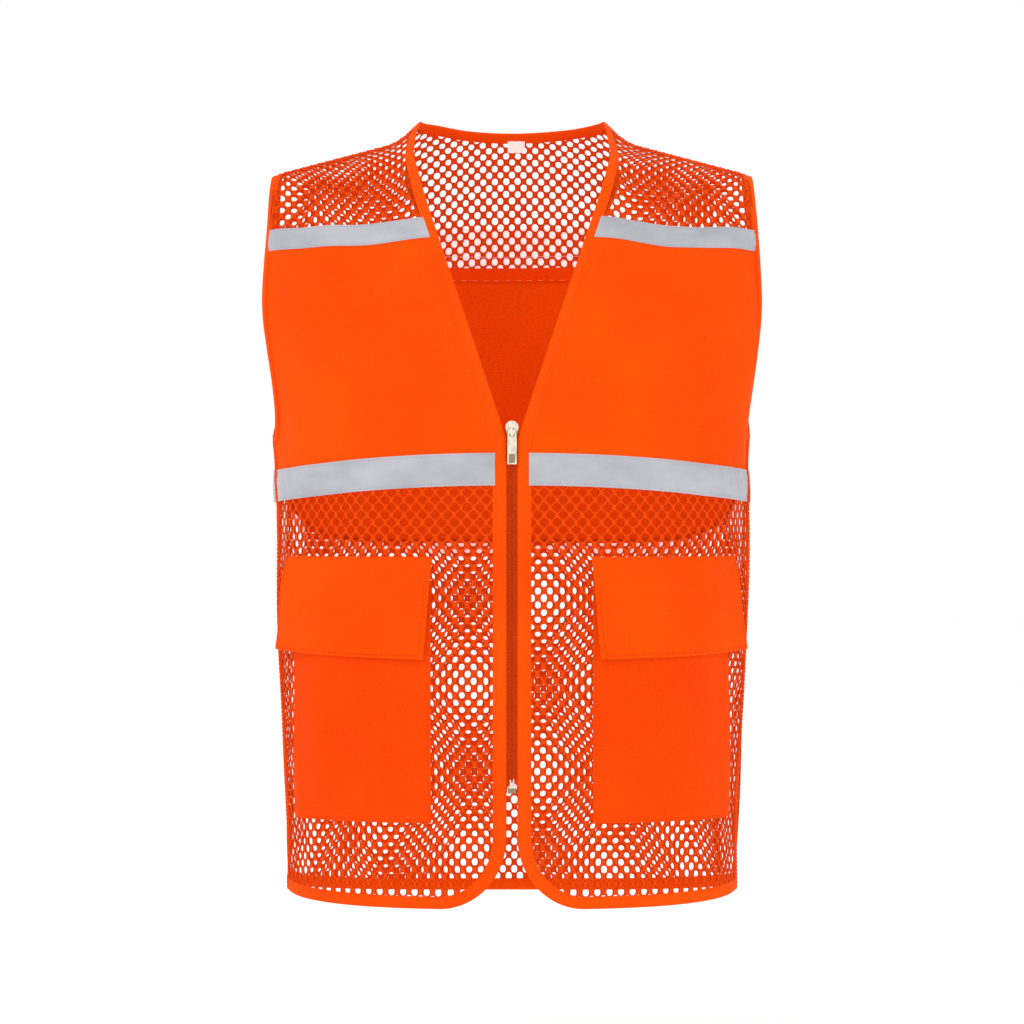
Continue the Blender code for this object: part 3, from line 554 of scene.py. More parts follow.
def net(name, side, length_range, q_range, clamp, material, lay=on_body):
    """Knitted net with real holes: lay places its pattern on the body, and clamp(turn, q, inset) brings
    points inside the piece's outline."""
    pitch = LOWER_NET_PITCH if lay is on_body else NET_PITCH
    w = pitch / 2.0
    half_row = NET_ROWS / 2.0
    tip = (w * w + half_row * half_row) / (2.0 * half_row)
    waist = half_row - tip
    corners = np.array([(0.0, tip), (w, waist), (w, -waist), (0.0, -tip), (-w, -waist), (-w, waist)])
    outer = np.empty((12, 2))
    outer[0::2] = corners
    outer[1::2] = (corners + np.roll(corners, -1, axis=0)) / 2.0
    around = np.radians(90.0 - 30.0 * np.arange(12))
    hole = np.stack([HOLE_HALF_WIDTH * signed_power(np.cos(around), HOLE_SQUARENESS),
                     HOLE_HALF_HEIGHT * signed_power(np.sin(around), HOLE_SQUARENESS)], -1)
    columns = np.arange(math.floor(length_range[0] / pitch) - 1, math.ceil(length_range[1] / pitch) + 2)
    rows = np.arange(math.floor(q_range[0] / half_row) - 1, math.ceil(q_range[1] / half_row) + 2)
    row, column = np.meshgrid(rows, columns, indexing="ij")
    middle = np.stack([(column + 0.5 * (row % 2)) * pitch, row * half_row], -1).reshape(-1, 1, 2)
    jitter = np.random.default_rng(11)
    size = 1.0 + jitter.normal(0.0, HOLE_SPREAD, (len(middle), 1, 1))
    shift = jitter.normal(0.0, HOLE_STRAY, (len(middle), 1, 2))
    ring = (middle + shift + hole * size).reshape(-1, 2)
    rim = (middle + outer).reshape(-1, 2)
    first, where = np.unique(np.round(rim * 1e6).astype(np.int64), axis=0,
                             return_index=True, return_inverse=True)[1:]
    rim = rim[first]
    where = where.reshape(-1, 12)
    flat = np.concatenate([rim, ring])
    inset = np.concatenate([np.zeros(len(rim)), np.full(len(ring), HOLE_INSET)])
    turn, q = lay(flat[:, 0], flat[:, 1])
    for _ in range(2):
        turn, q = clamp(turn, q, inset)
    hole_index = len(rim) + np.arange(len(ring)).reshape(-1, 12)
    faces = np.stack([hole_index, np.roll(hole_index, -1, axis=1), np.roll(where, -1, axis=1), where], -1)
    faces = faces.reshape(-1, 4)[:, ::-1]
    points, normals = cloth(turn * side, q)
    corner = points[faces]
    area = np.linalg.norm(np.cross(corner[:, 2] - corner[:, 0], corner[:, 3] - corner[:, 1]), axis=1)
    faces = faces[area > SMALLEST_FACE]
    used, packed = np.unique(faces, return_inverse=True)
    faces = packed.reshape(-1, 4)
    if side > 0:
        faces = faces[:, ::-1]
    # at_hole marks each hole's rim: thinner yarn there, and the net's painted shade.
    at_hole = (used >= len(rim)).astype(float)
    half = NET_THICK / 2.0 * np.where(at_hole > 0.5, YARN_EDGE, 1.0)
    solid, quads = thicken(points[used], normals[used], half, faces)
    if lay is on_body:
        uv = np.stack([arc(turn[used]), q[used]], -1)
    else:
        up = np.interp(q[used], YOKE_Q, YOKE_TABLES[int(lay is on_back_yoke)][YOKE_MIDDLE])
        uv = np.stack([surface(turn[used], q[used])[:, 0], up], -1)
    thing = make_mesh(name, solid, quads, np.concatenate([uv, uv]), np.concatenate([at_hole, at_hole]), 180.0)
    thing.data.materials.append(material)
    return thing


def tube_along(name, points, normals, across, profile, material, closed=False):
    """Sweep a closed profile of (across, outward) pairs, which may differ from point to point."""
    profile = np.broadcast_to(profile, (len(points), *np.shape(profile)[-2:]))
    rings = (points[:, None] + across[:, None] * profile[..., 0:1] + normals[:, None] * profile[..., 1:2])
    rows, columns = rings.shape[:2]
    along = path_lengths(points)
    uv = np.stack([np.broadcast_to(along[:, None], (rows, columns)), profile[..., 0]], -1).reshape(-1, 2)
    faces = grid_faces(rows, columns, closed=True)
    if closed:
        j = np.arange(columns)
        k = (j + 1) % columns
        last = (rows - 1) * columns
        faces = np.concatenate([faces, np.stack([last + j, last + k, k, j], -1)])
    else:
        half = columns // 2
        j = np.arange(half - 1)
        low = np.stack([j, (columns - 1 - j) % columns, (columns - 2 - j) % columns, j + 1], -1)
        last = (rows - 1) * columns
        faces = np.concatenate([faces, low, low[:, ::-1] + last])
    thing = make_mesh(name, rings.reshape(-1, 3), faces, uv)
    outward_faces(thing)
    thing.data.materials.append(material)
    return thing


def resample(turn, q, side, step, lift=0.0):
    """Points, normals and tangents every step along a path of (turn, q) on the cloth."""
    turn, q = np.asarray(turn, float), np.asarray(q, float)
    along = path_lengths(cloth(turn * side, q, lift + 0.0 * turn)[0])
    at = np.linspace(0.0, along[-1], max(3, int(round(along[-1] / step)) + 1))
    turn, q = np.interp(at, along, turn), np.interp(at, along, q)
    points, normals = cloth(turn * side, q, lift + 0.0 * turn)
    tangents = unit(np.gradient(points, axis=0))
    return points, normals, tangents, at


# ------------------------------------------------------------------ stitching

STITCHES = {}


def stitch_row(group, points, normals, pitch=STITCH_PITCH, length=STITCH_LENGTH, radius=STITCH_R):
    """Small thread arcs every pitch along a line of points."""
    along = path_lengths(points)
    count = int((along[-1] - length) / pitch)
    if count < 1:
        return
    steps = np.array([0.0, 0.12, 0.5, 0.88, 1.0])
    heights = np.array([-0.9, 0.35, 0.75, 0.35, -0.9]) * radius
    at = np.arange(count)[:, None] * pitch + pitch * 0.3 + steps[None] * length
    place = np.stack([np.interp(at, along, points[:, k]) for k in range(3)], -1)
    normal = unit(np.stack([np.interp(at, along, normals[:, k]) for k in range(3)], -1))
    tangent = unit(np.gradient(place, axis=1))
    across = unit(np.cross(normal, tangent))
    around = np.radians(np.array([45.0, 135.0, 225.0, 315.0]))
    ring = (place + normal * heights[None, :, None])[:, :, None]
    ring = ring + across[:, :, None] * (np.cos(around) * radius)[None, None, :, None]
    ring = ring + normal[:, :, None] * (np.sin(around) * radius)[None, None, :, None]
    faces = grid_faces(5, 4, closed=True)
    faces = np.concatenate([faces, [[3, 2, 1, 0]], [[16, 17, 18, 19]]])
    faces = (faces[None] + (np.arange(count) * 20)[:, None, None]).reshape(-1, 4)
    STITCHES.setdefault(group, []).append((ring.reshape(-1, 3), faces))


def stitch_on_cloth(group, turn, q, side, lift, **sizes):
    points, normals, _, _ = resample(turn, q, side, 0.0015, lift)
    stitch_row(group, points, normals, **sizes)


def outward_faces(thing):
    bm = bmesh.new()
    bm.from_mesh(thing.data)
    bmesh.ops.recalc_face_normals(bm, faces=bm.faces)
    bm.to_mesh(thing.data)
    bm.free()


def finish_stitches(group, material):
    points, faces, start = [], [], 0
    for p, f in STITCHES[group]:
        points.append(p)
        faces.append(f + start)
        start += len(p)
    thing = make_mesh(group, np.concatenate(points), np.concatenate(faces), smooth_angle=180.0)
    outward_faces(thing)
    thing.data.materials.append(material)
    return thing


# ------------------------------------------------------------------ materials

# Painted glow of the orange cloths: an emission that brightens them where they lie in shade.
PAINTED_GLOW_TINT = (1.0, 0.17, 0.002)
PAINTED_GLOW_STRENGTH = 0.08
WHITE = (1.0, 1.0, 1.0)


class Shader:
    """A Principled material under construction."""

    def __init__(self, name, colour, roughness, metallic=0.0, sheen=0.0, sheen_roughness=0.5):
        self.material = bpy.data.materials.new(name)
        self.material.use_nodes = True
        self.tree = self.material.node_tree
        self.shader = self.tree.nodes["Principled BSDF"]
        self.shader.inputs["Base Color"].default_value = (*colour, 1.0)
        self.shader.inputs["Roughness"].default_value = roughness
        self.shader.inputs["Metallic"].default_value = metallic
        self.shader.inputs["Sheen Weight"].default_value = sheen
        self.shader.inputs["Sheen Roughness"].default_value = sheen_roughness
        self.shader.inputs["Sheen Tint"].default_value = (1.0, 0.30, 0.06, 1.0)
        self.shader.inputs["Specular IOR Level"].default_value = 0.5 if metallic else 0.05
        self.bump = None

    def glow(self, colour, strength):
        """Painted glow: an even emission over the cloth, which lifts its shaded parts."""
        self.shader.inputs["Emission Color"].default_value = (*colour, 1.0)
        self.shader.inputs["Emission Strength"].default_value = strength

    def node(self, kind, **inputs):
        made = self.tree.nodes.new(kind)
        for key, value in inputs.items():
            made.inputs[key.replace("_", " ")].default_value = value
        return made

    def link(self, out, into):
        self.tree.links.new(out, into)

    def coordinates(self, kind, scale):
        if kind == "cloth":
            source = self.node("ShaderNodeUVMap")
            source.uv_map = "cloth"
            out = source.outputs["UV"]
        else:
            out = self.node("ShaderNodeTexCoord").outputs["Object"]
        place = self.node("ShaderNodeMapping")
        place.inputs["Scale"].default_value = scale
        self.link(out, place.inputs["Vector"])
        return place.outputs["Vector"]

    def noise(self, vector, detail=3.0, roughness=0.55):
        made = self.node("ShaderNodeTexNoise", Scale=1.0, Detail=detail, Roughness=roughness)
        self.link(vector, made.inputs["Vector"])
        return made.outputs["Fac"]

    def wave(self, vector, direction):
        made = self.node("ShaderNodeTexWave", Scale=1.0, Distortion=0.0, Detail=1.0)
        made.bands_direction = direction
        self.link(vector, made.inputs["Vector"])
        return made.outputs["Fac"]

    def ramp(self, value, low, high, low_at=0.35, high_at=0.65):
        """Colour between two tones."""
        made = self.node("ShaderNodeValToRGB")
        made.color_ramp.elements[0].position = low_at
        made.color_ramp.elements[0].color = (*low, 1.0)
        made.color_ramp.elements[1].position = high_at
        made.color_ramp.elements[1].color = (*high, 1.0)
        self.link(value, made.inputs["Fac"])
        return made.outputs["Color"]

    def math(self, operation, a, b):
        made = self.node("ShaderNodeMath")
        made.operation = operation
        for socket, value in zip(made.inputs, (a, b)):
            if isinstance(value, (int, float)):
                socket.default_value = value
            else:
                self.link(value, socket)
        return made.outputs["Value"]

    def multiply(self, colour, factor_colour):
        made = self.node("ShaderNodeMix")
        made.data_type = "RGBA"
        made.blend_type = "MULTIPLY"
        made.inputs["Factor"].default_value = 1.0
        self.link(colour, made.inputs["A"])
        self.link(factor_colour, made.inputs["B"])
        return made.outputs["Result"]

    def between(self, factor, a, b):
        made = self.node("ShaderNodeMix")
        made.data_type = "RGBA"
        self.link(factor, made.inputs["Factor"])
        for socket, value in ((made.inputs["A"], a), (made.inputs["B"], b)):
            if isinstance(value, tuple):
                socket.default_value = (*value, 1.0)
            else:
                self.link(value, socket)
        return made.outputs["Result"]

    def set_colour(self, colour):
        self.link(colour, self.shader.inputs["Base Color"])

    def set_roughness(self, value, low, high):
        made = self.node("ShaderNodeMapRange", To_Min=low, To_Max=high)
        self.link(value, made.inputs["Value"])
        self.link(made.outputs["Result"], self.shader.inputs["Roughness"])

    def add_bump(self, height, distance, strength=1.0):
        made = self.node("ShaderNodeBump", Strength=strength, Distance=distance)
        self.link(height, made.inputs["Height"])
        if self.bump is not None:
            self.link(self.bump, made.inputs["Normal"])
        self.bump = made.outputs["Normal"]
        self.link(self.bump, self.shader.inputs["Normal"])


def weave(shader, pitch, depth):
    """Warp and weft bumps, a thread every pitch."""
    scale = WAVE_TURN / pitch
    warp = shader.wave(shader.coordinates("cloth", (scale, 0.0, 0.0)), "X")
    weft = shader.wave(shader.coordinates("cloth", (0.0, scale, 0.0)), "Y")
    shader.add_bump(shader.math("MULTIPLY", warp, weft), depth, 0.6)


def woven_material(name, colour, deep, pitch=0.0011):
    shader = Shader(name, colour, 0.85, sheen=0.08)
    cloudy = shader.noise(shader.coordinates("object", (9.0, 9.0, 9.0)), 4.0)
    tone = shader.ramp(cloudy, deep, colour, 0.30, 0.62)
    grain = shader.noise(shader.coordinates("cloth", (420.0, 900.0, 1.0)), 2.0)
    threads = shader.ramp(grain, (0.86, 0.80, 0.78), WHITE, 0.3, 0.62)
    shader.set_colour(shader.multiply(tone, threads))
    shader.set_roughness(grain, 0.74, 0.95)
    # Painted glow, which brightens the cloth in its shade.
    shader.glow(PAINTED_GLOW_TINT, PAINTED_GLOW_STRENGTH)
    weave(shader, pitch, 0.00010)
    shader.add_bump(shader.noise(shader.coordinates("object", (55.0, 55.0, 22.0)), 3.0), 0.0012, 0.35)
    return shader.material


def net_material(name, colour, deep):
    """Knitted net: painted shade darkens the yarn towards the holes, with the knit's fine ribs."""
    shader = Shader(name, colour, 0.88, sheen=0.06)
    near = shader.node("ShaderNodeAttribute")
    near.attribute_name = "edge"
    # Painted shade: towards a hole's rim the yarn turns to the darker tone.
    shade = shader.math("POWER", near.outputs["Fac"], 1.7)
    tone = shader.between(shade, colour, deep)
    grain = shader.noise(shader.coordinates("cloth", (700.0, 700.0, 1.0)), 2.0)
    threads = shader.ramp(grain, (0.72, 0.62, 0.60), WHITE, 0.28, 0.60)
    shader.set_colour(shader.multiply(tone, threads))
    shader.set_roughness(grain, 0.78, 0.96)
    # Painted glow, which brightens the yarn in its shade.
    shader.glow(PAINTED_GLOW_TINT, PAINTED_GLOW_STRENGTH)
    weave(shader, 0.00085, 0.00016)
    return shader.material


def tape_material(name):
    """Silver reflective face with fine glass beads, small wrinkles and rubbed spots."""
    shader = Shader(name, (0.48, 0.48, 0.52), 0.42, metallic=0.35)
    rubbed = shader.noise(shader.coordinates("object", (16.0, 16.0, 34.0)), 5.0, 0.6)
    tone = shader.ramp(rubbed, (0.415, 0.417, 0.455), (0.548, 0.550, 0.592), 0.30, 0.66)
    beads = shader.noise(shader.coordinates("cloth", (2600.0, 2600.0, 1.0)), 1.0)
    glass = shader.ramp(beads, (0.88, 0.88, 0.90), WHITE, 0.35, 0.6)
    shader.set_colour(shader.multiply(tone, glass))
    shader.set_roughness(rubbed, 0.34, 0.55)
    shader.add_bump(beads, 0.00005, 0.5)
    shader.add_bump(shader.noise(shader.coordinates("cloth", (170.0, 26.0, 1.0)), 4.0, 0.6), 0.0005, 0.28)
    return shader.material


def plain_fabric(name, colour, deep, scale, depth, roughness=0.85, glow=0.0):
    shader = Shader(name, colour, roughness, sheen=0.06)
    # Painted glow in the cloth's own colour, when glow is given.
    shader.glow(colour, glow)
    grain = shader.noise(shader.coordinates("object", (scale, scale, scale)), 3.0)
    shader.set_colour(shader.ramp(grain, deep, colour, 0.3, 0.62))
    shader.set_roughness(grain, roughness - 0.1, min(roughness + 0.1, 1.0))
    shader.add_bump(grain, depth, 0.7)
    return shader.material


def metal_material(name, colour, roughness):
    shader = Shader(name, colour, roughness, metallic=1.0)
    # Painted reflections: random darker patches stand in for dark surroundings mirrored in the metal; the
    # same noise varies the roughness.
    painted_reflection_noise = shader.noise(shader.coordinates("object", (420.0, 420.0, 160.0)), 4.0)
    shader.set_colour(shader.ramp(painted_reflection_noise, tuple(0.66 * c for c in colour), colour, 0.32, 0.52))
    shader.set_roughness(painted_reflection_noise, roughness * 0.75, roughness * 1.5)
    shader.add_bump(shader.noise(shader.coordinates("object", (900.0, 900.0, 200.0)), 2.0), 0.00004, 0.3)
    return shader.material


WOVEN = woven_material("woven_orange", (0.92, 0.075, 0.001), (0.88, 0.057, 0.001))
# The pockets' cloth is a darker copy of the woven cloth, and its extra darkness is painted shade.
POCKET_CLOTH_PAINTED_SHADE = woven_material("pocket_orange_painted_shade", (0.90, 0.058, 0.001), (0.86, 0.042, 0.001))
# The net's darker tone is painted shade at the holes' rims.
NET = net_material("net_orange", (0.93, 0.060, 0.002), (0.46, 0.026, 0.002))
BINDING = woven_material("binding_orange", (0.93, 0.080, 0.002), (0.90, 0.060, 0.002), 0.0009)
TAPE = tape_material("reflective_silver")
# The backing's glow is painted light, which brightens it in the shade behind the holes.
BACKING = plain_fabric("tape_backing", (0.95, 0.94, 0.93), (0.88, 0.87, 0.86), 1400.0, 0.0001, glow=0.42)
THREAD = plain_fabric("thread_orange", (0.95, 0.115, 0.006), (0.60, 0.050, 0.004), 2600.0, 0.0001, 0.7)
TAPE_THREAD = plain_fabric("thread_grey", (0.50, 0.50, 0.54), (0.36, 0.36, 0.40), 2600.0, 0.0001, 0.6)
WHITE_THREAD = plain_fabric("thread_white", (0.97, 0.90, 0.85), (0.88, 0.76, 0.68), 2600.0, 0.0001, 0.6)
BAND_THREAD = plain_fabric("thread_pale_orange", (1.0, 0.34, 0.13), (0.92, 0.22, 0.07), 2600.0, 0.0001, 0.6)
ZIP_CLOTH = woven_material("zip_cloth", (0.82, 0.060, 0.002), (0.68, 0.044, 0.002), 0.0008)
COIL = plain_fabric("zip_coil_plastic", (0.80, 0.075, 0.008), (0.52, 0.036, 0.004), 900.0, 0.00005, 0.45)
METAL = metal_material("pale_brass", (0.90, 0.82, 0.67), 0.27)
# Brass in painted shade, for the floor of the pull's recess and the retainer's box below its collar.
PAINTED_SHADE_METAL = metal_material("brass_painted_shade", (0.34, 0.27, 0.17), 0.40)
# Painted shadow: dark brass for the disc under the pull's head.
SHADOW_METAL = metal_material("painted_shadow_brass", (0.16, 0.12, 0.08), 0.45)
SEAM_CLOTH = woven_material("gathered_orange", (0.97, 0.072, 0.004), (0.62, 0.034, 0.003), 0.0009)
BAND = woven_material("band_orange", (0.92, 0.058, 0.002), (0.82, 0.044, 0.002), 0.0009)
# The label's glow is painted light, which brightens it in the shade inside the neck.
LABEL = plain_fabric("label_white", (0.95, 0.94, 0.92), (0.85, 0.83, 0.81), 1500.0, 0.0001, glow=0.25)
HOOK = plain_fabric("hook_and_loop", (0.93, 0.085, 0.004), (0.48, 0.03, 0.003), 1700.0, 0.0004)


# ------------------------------------------------------------------ placing

def body_name(side):
    return "front_left" if side > 0 else "front_right"


def word(side):
    return "left" if side > 0 else "right"


def on_front(thing):
    """Bake the piece's transform into its mesh."""
    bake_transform(thing)


def finish_piece(thing, nodes=(), body=None, side=None):
    if side is None:
        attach(thing, body)
    else:
        on_front(thing)
    if nodes:
        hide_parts(*nodes)
    return thing


# ------------------------------------------------------------------ net

def net_front(side):
    """Lower front, from the hem's band to the lower tape."""
    def clamp(turn, q, inset):
        q = np.clip(q, hem_z(turn) + PLACKET_WIDTH - BINDING_LAP + inset, low_tape_z(turn) - 0.001 - inset)
        low = turn_at(front_edge_x(q, PLACKET_WIDTH - 0.0045) + inset, q)
        return np.clip(turn, low, FRONT_END - inset / 0.004), q

    thing = net(f"{word(side)}_front_net", side, (0.0, arc(SIDE_SEAM)), (0.0, 0.39), clamp, NET)
    finish_piece(thing, [f"{word(side)}_lower_mesh"], side=side)


def net_back():
    def clamp(turn, q, inset):
        q = np.clip(q, hem_z(turn) + PLACKET_WIDTH - BINDING_LAP + inset, low_tape_z(turn) - 0.001 - inset)
        edge = BACK_START + inset / 0.004
        return np.clip(turn, edge, 360.0 - edge), q

    span = (arc(SIDE_SEAM), 2.0 * HALF_ROUND - arc(SIDE_SEAM))
    thing = net("back_lower_net", 1, span, (0.0, 0.37), clamp, NET)
    finish_piece(thing, ["back_lower_mesh"], "root")


def net_front_yoke(side):
    def clamp(turn, q, inset):
        q = np.clip(q, q_at(turn, yoke_seam_z(turn) - 0.002) + inset, RIDGE_Q - 0.0015 - inset)
        z = surface(turn, q)[..., 2]
        low = turn_at(v_edge_x(z) + BINDING_WIDTH - NET_LAP + inset, q)
        return np.clip(turn, low, armhole_turn(q, False, BINDING_WIDTH - NET_LAP) - inset / 0.003), q

    thing = net(f"{word(side)}_yoke_net", side, (0.03, 0.23), (0.03, 0.25), clamp, NET, on_front_yoke)
    finish_piece(thing, [f"{word(side)}_front_yoke_mesh"], side=side)


def net_back_yoke():
    """From inside the upper tape to the shoulders. Its lower edge reaches below the tape on the inside."""
    def clamp(turn, q, inset):
        x = np.abs(surface(turn, 0.0 * q + RIDGE_Q)[..., 0])
        rim = np.minimum(RIDGE_Q - 0.0015, back_neck_q(x, BINDING_WIDTH - NET_LAP))
        q = np.clip(q, q_at(turn, yoke_seam_z(turn) - 0.0315) + inset, rim - inset)
        edge = armhole_turn(q, True, BINDING_WIDTH - NET_LAP) + inset / 0.003
        return np.clip(turn, edge, 360.0 - edge), q

    thing = net("back_yoke_net", 1, (-0.23, 0.23), (0.0, 0.25), clamp, NET, on_back_yoke)
    finish_piece(thing, ["back_yoke_mesh"], "root")


# ------------------------------------------------------------------ woven panels and tapes

def chest_panel(side):
    def inner(z, q):
        return turn_at(v_edge_x(z) + 0.005, q)

    def outer(z, q):
        return np.minimum(FRONT_END, armhole_turn(q, False, BINDING_WIDTH - BINDING_LAP))

    turn, q = cloth_grid(64, 56, inner, outer,
                         lambda t: low_tape_z(t) - 0.004, lambda t: yoke_seam_z(t) + 0.002)
    thing = lay_sheet(f"{word(side)}_chest_cloth", turn, q, side, WOVEN_THICK / 2.0, 0.0, WOVEN)
    finish_piece(thing, [f"{word(side)}_chest_panel"], side=side)


def back_panel():
    def left(z, q):
        return np.maximum(BACK_START, armhole_turn(q, True, BINDING_WIDTH - BINDING_LAP))

    turn, q = cloth_grid(120, 64, left, mirrored(left),
                         lambda t: low_tape_z(t) - 0.004, lambda t: high_tape_z(t)[0] + 0.003)
    thing = lay_sheet("back_chest_cloth", turn, q, 1, WOVEN_THICK / 2.0, BACK_PANEL_OUT, WOVEN)
    finish_piece(thing, ["back_chest_panel"], "root")


LOW_TAPE_EDGES = (lambda turn: low_tape_z(turn) - TAPE_WIDTH / 2.0,
                  lambda turn: low_tape_z(turn) + TAPE_WIDTH / 2.0)
HIGH_TAPE_EDGES = (lambda turn: high_tape_z(turn)[0], lambda turn: high_tape_z(turn)[1])


def tape_sheet(name, left, right, edges, columns, side, nodes, body=None):
    """Reflective tape with two rows of stitches. A body is given for the back's tapes only."""
    turn, q = cloth_grid(columns, 8, left, right, *edges)
    v = np.linspace(0.0, 1.0, 9)[:, None]
    sewn = np.exp(-((v - 0.09) / 0.05) ** 2) + np.exp(-((v - 0.91) / 0.05) ** 2)
    out = BACK_TAPE_OUT if body else TAPE_OUT
    ends = smooth((np.abs(np.sin(np.radians(turn))) - 0.84) / 0.12)
    along = arc(turn)
    wrinkles = WRINKLE_HEIGHT * np.sin(720.0 * along + 170.0 * q) * (0.55 + 0.45 * np.sin(205.0 * along))
    lift = out + 0.0004 * np.sin(math.pi * v) - 0.00025 * sewn + ends * wrinkles * np.sin(math.pi * v)
    thing = lay_sheet(name, turn, q, side, TAPE_HALF, lift, TAPE, BACKING)
    group = "back_tape_stitches" if body else f"{word(side)}_tape_stitches"
    for share in (TAPE_STITCH, 1.0 - TAPE_STITCH):
        edge_q = mix(q[0], q[-1], share)
        edge_turn = mix(turn[0], turn[-1], share)
        thread_lift = out + TAPE_HALF - THREAD_SINK
        stitch_on_cloth(group, edge_turn, edge_q, side, thread_lift, pitch=0.0030, length=0.0021)
    finish_piece(thing, nodes, body, None if body else side)


def tapes(side):
    def outer(z, q):
        return np.minimum(FRONT_END, armhole_turn(q, False, BINDING_WIDTH - TAPE_LAP))

    def beside_v(z, q):
        return turn_at(v_edge_x(z) + BINDING_WIDTH - TAPE_LAP, q)

    tape_sheet(f"{word(side)}_low_reflective", beside(PLACKET_X + PLACKET_WIDTH - TAPE_LAP),
               lambda z, q: FRONT_END + 0.0 * q, LOW_TAPE_EDGES, 110, side, [f"{word(side)}_lower_tape"])
    tape_sheet(f"{word(side)}_high_reflective", beside_v, outer, HIGH_TAPE_EDGES, 70, side,
               [f"{word(side)}_upper_tape"])


def back_tapes():
    def left(z, q):
        return np.maximum(BACK_START, armhole_turn(q, True, BINDING_WIDTH - TAPE_LAP))

    def seam(z, q):
        return BACK_START + 0.0 * q

    tape_sheet("back_low_reflective", seam, mirrored(seam), LOW_TAPE_EDGES, 220, 1,
               ["back_lower_tape"], "root")
    tape_sheet("back_high_reflective", left, mirrored(left), HIGH_TAPE_EDGES, 160, 1,
               ["back_upper_tape"], "root")


# ------------------------------------------------------------------ bindings

def neck_points():
    """Rim of the back neck, from its middle to the neck point, on the wearer's left."""
    angles = np.radians(np.linspace(90.4, 3.0, 30))
    x = NECK_X * np.cos(angles)
    return 180.0 - np.copysign(turn_at(np.abs(x), RIDGE_Q), x), back_neck_q(x)


def v_points():
    """From the neck point down the V and the placket, round the corner, and along the hem."""
    z = np.linspace(ridge(NECK_X) - 0.003, FRONT_HEM_Z + CORNER_RISE, 160)
    x = v_edge_x(z)
    turn = turn_at(x, RIDGE_Q)
    for _ in range(4):
        q = q_at(turn, z)
        turn = turn_at(x, q)
    angles = np.radians(np.linspace(4.0, 88.0, 22))
    corner_z = FRONT_HEM_Z + CORNER_RISE * (1.0 - np.sin(angles))
    corner = turn_at(PLACKET_X + CORNER_RUN * (1.0 - np.cos(angles)), corner_z)
    hem = np.linspace(turn_at(PLACKET_X + CORNER_RUN + 0.001, FRONT_HEM_Z), SIDE_SEAM - 0.2, 60)
    width = mix(PLACKET_WIDTH, BINDING_WIDTH, smooth((z - 0.40) / 0.05))
    turns = np.concatenate([turn, corner, hem])
    qs = np.concatenate([q, corner_z, hem_z(hem)])
    turning = mix(PLACKET_WIDTH, HEM_WIDTH, np.linspace(0.0, 1.0, len(corner)))
    widths = np.concatenate([width, turning, np.full(len(hem), HEM_WIDTH)])
    return turns, qs, widths


def swept_binding(name, points, width, normals, across, group, closed=False):
    """Folded band along points, with across pointing into the cloth, and a row of stitches on both faces."""
    along = path_lengths(points)
    puff = 1.0 + 0.06 * np.sin(along * 2.0 * math.pi / 0.0068) + 0.05 * np.sin(along * 2.0 * math.pi / 0.031)
    seat = BINDING_HALF * puff
    upper = np.array([(0.05, 0.62), (0.18, 0.95), (0.42, 1.06), (0.64, 0.98), (0.76, 0.80),
                      (0.88, 0.92), (0.97, 0.84), (1.0, 0.42)])
    shape = np.concatenate([[(0.0, 0.0)], upper, upper[::-1] * (1.0, -1.0)])
    profile = np.stack([shape[None, :, 0] * width[:, None], shape[None, :, 1] * seat[:, None]], -1)
    thing = tube_along(name, points, normals, across, profile, BINDING, closed)
    row = points + across * (width * BINDING_STITCH)[:, None]
    for face in (normals, -normals):
        stitch_row(group, row + face * (BINDING_HALF * 0.82), face)
    return thing


def edge_frame(turn, q, side):
    """Points, normals, directions into the cloth, and distances along a path."""
    points, normals, tangents, at = resample(turn, q, side, BINDING_STEP)
    across = unit(np.cross(normals, tangents)) * side
    return points, normals, across, at


def shoulder_join(rear, front, steps=7):
    """Bridge two paths over the shoulder's ridge with a smooth turn of the normal."""
    points_a, normals_a, across_a = rear
    points_b, normals_b, across_b = front
    t = np.linspace(0.0, 1.0, steps + 2)[1:-1, None]
    gap = np.linalg.norm(points_b[0] - points_a[-1])
    out = unit(points_a[-1] - points_a[-3]) * gap
    into = unit(points_b[2] - points_b[0]) * gap
    points = ((2 * t ** 3 - 3 * t ** 2 + 1) * points_a[-1] + (t ** 3 - 2 * t ** 2 + t) * out
              + (3 * t ** 2 - 2 * t ** 3) * points_b[0] + (t ** 3 - t ** 2) * into)
    normals = unit(mix(normals_a[-1], normals_b[0], smooth(t)))
    across = unit(mix(across_a[-1], across_b[0], smooth(t)))
    return points, normals, across


def front_binding(side):
    name = word(side)
    turn, q = neck_points()
    rear = edge_frame(turn, q, side)[:3]
    turn, q, widths = v_points()
    front = edge_frame(turn, q, side)
    raw = cloth(turn * side, q, 0.0 * turn)[0]
    width = np.interp(front[3], path_lengths(raw), widths)
    bridge = shoulder_join(rear, front[:3])
    parts = [rear, bridge, front[:3]]
    points, normals, across = (np.concatenate([p[k] for p in parts]) for k in range(3))
    over = mix(NECK_BINDING_WIDTH, BINDING_WIDTH, np.linspace(0.0, 1.0, len(bridge[0])))
    width = np.concatenate([np.full(len(rear[0]), NECK_BINDING_WIDTH), over, width])
    thing = swept_binding(f"{name}_edge_binding", points, width, normals, across, f"{name}_stitches")
    finish_piece(thing, [f"{name}_front_binding", "neck_binding"], side=side)


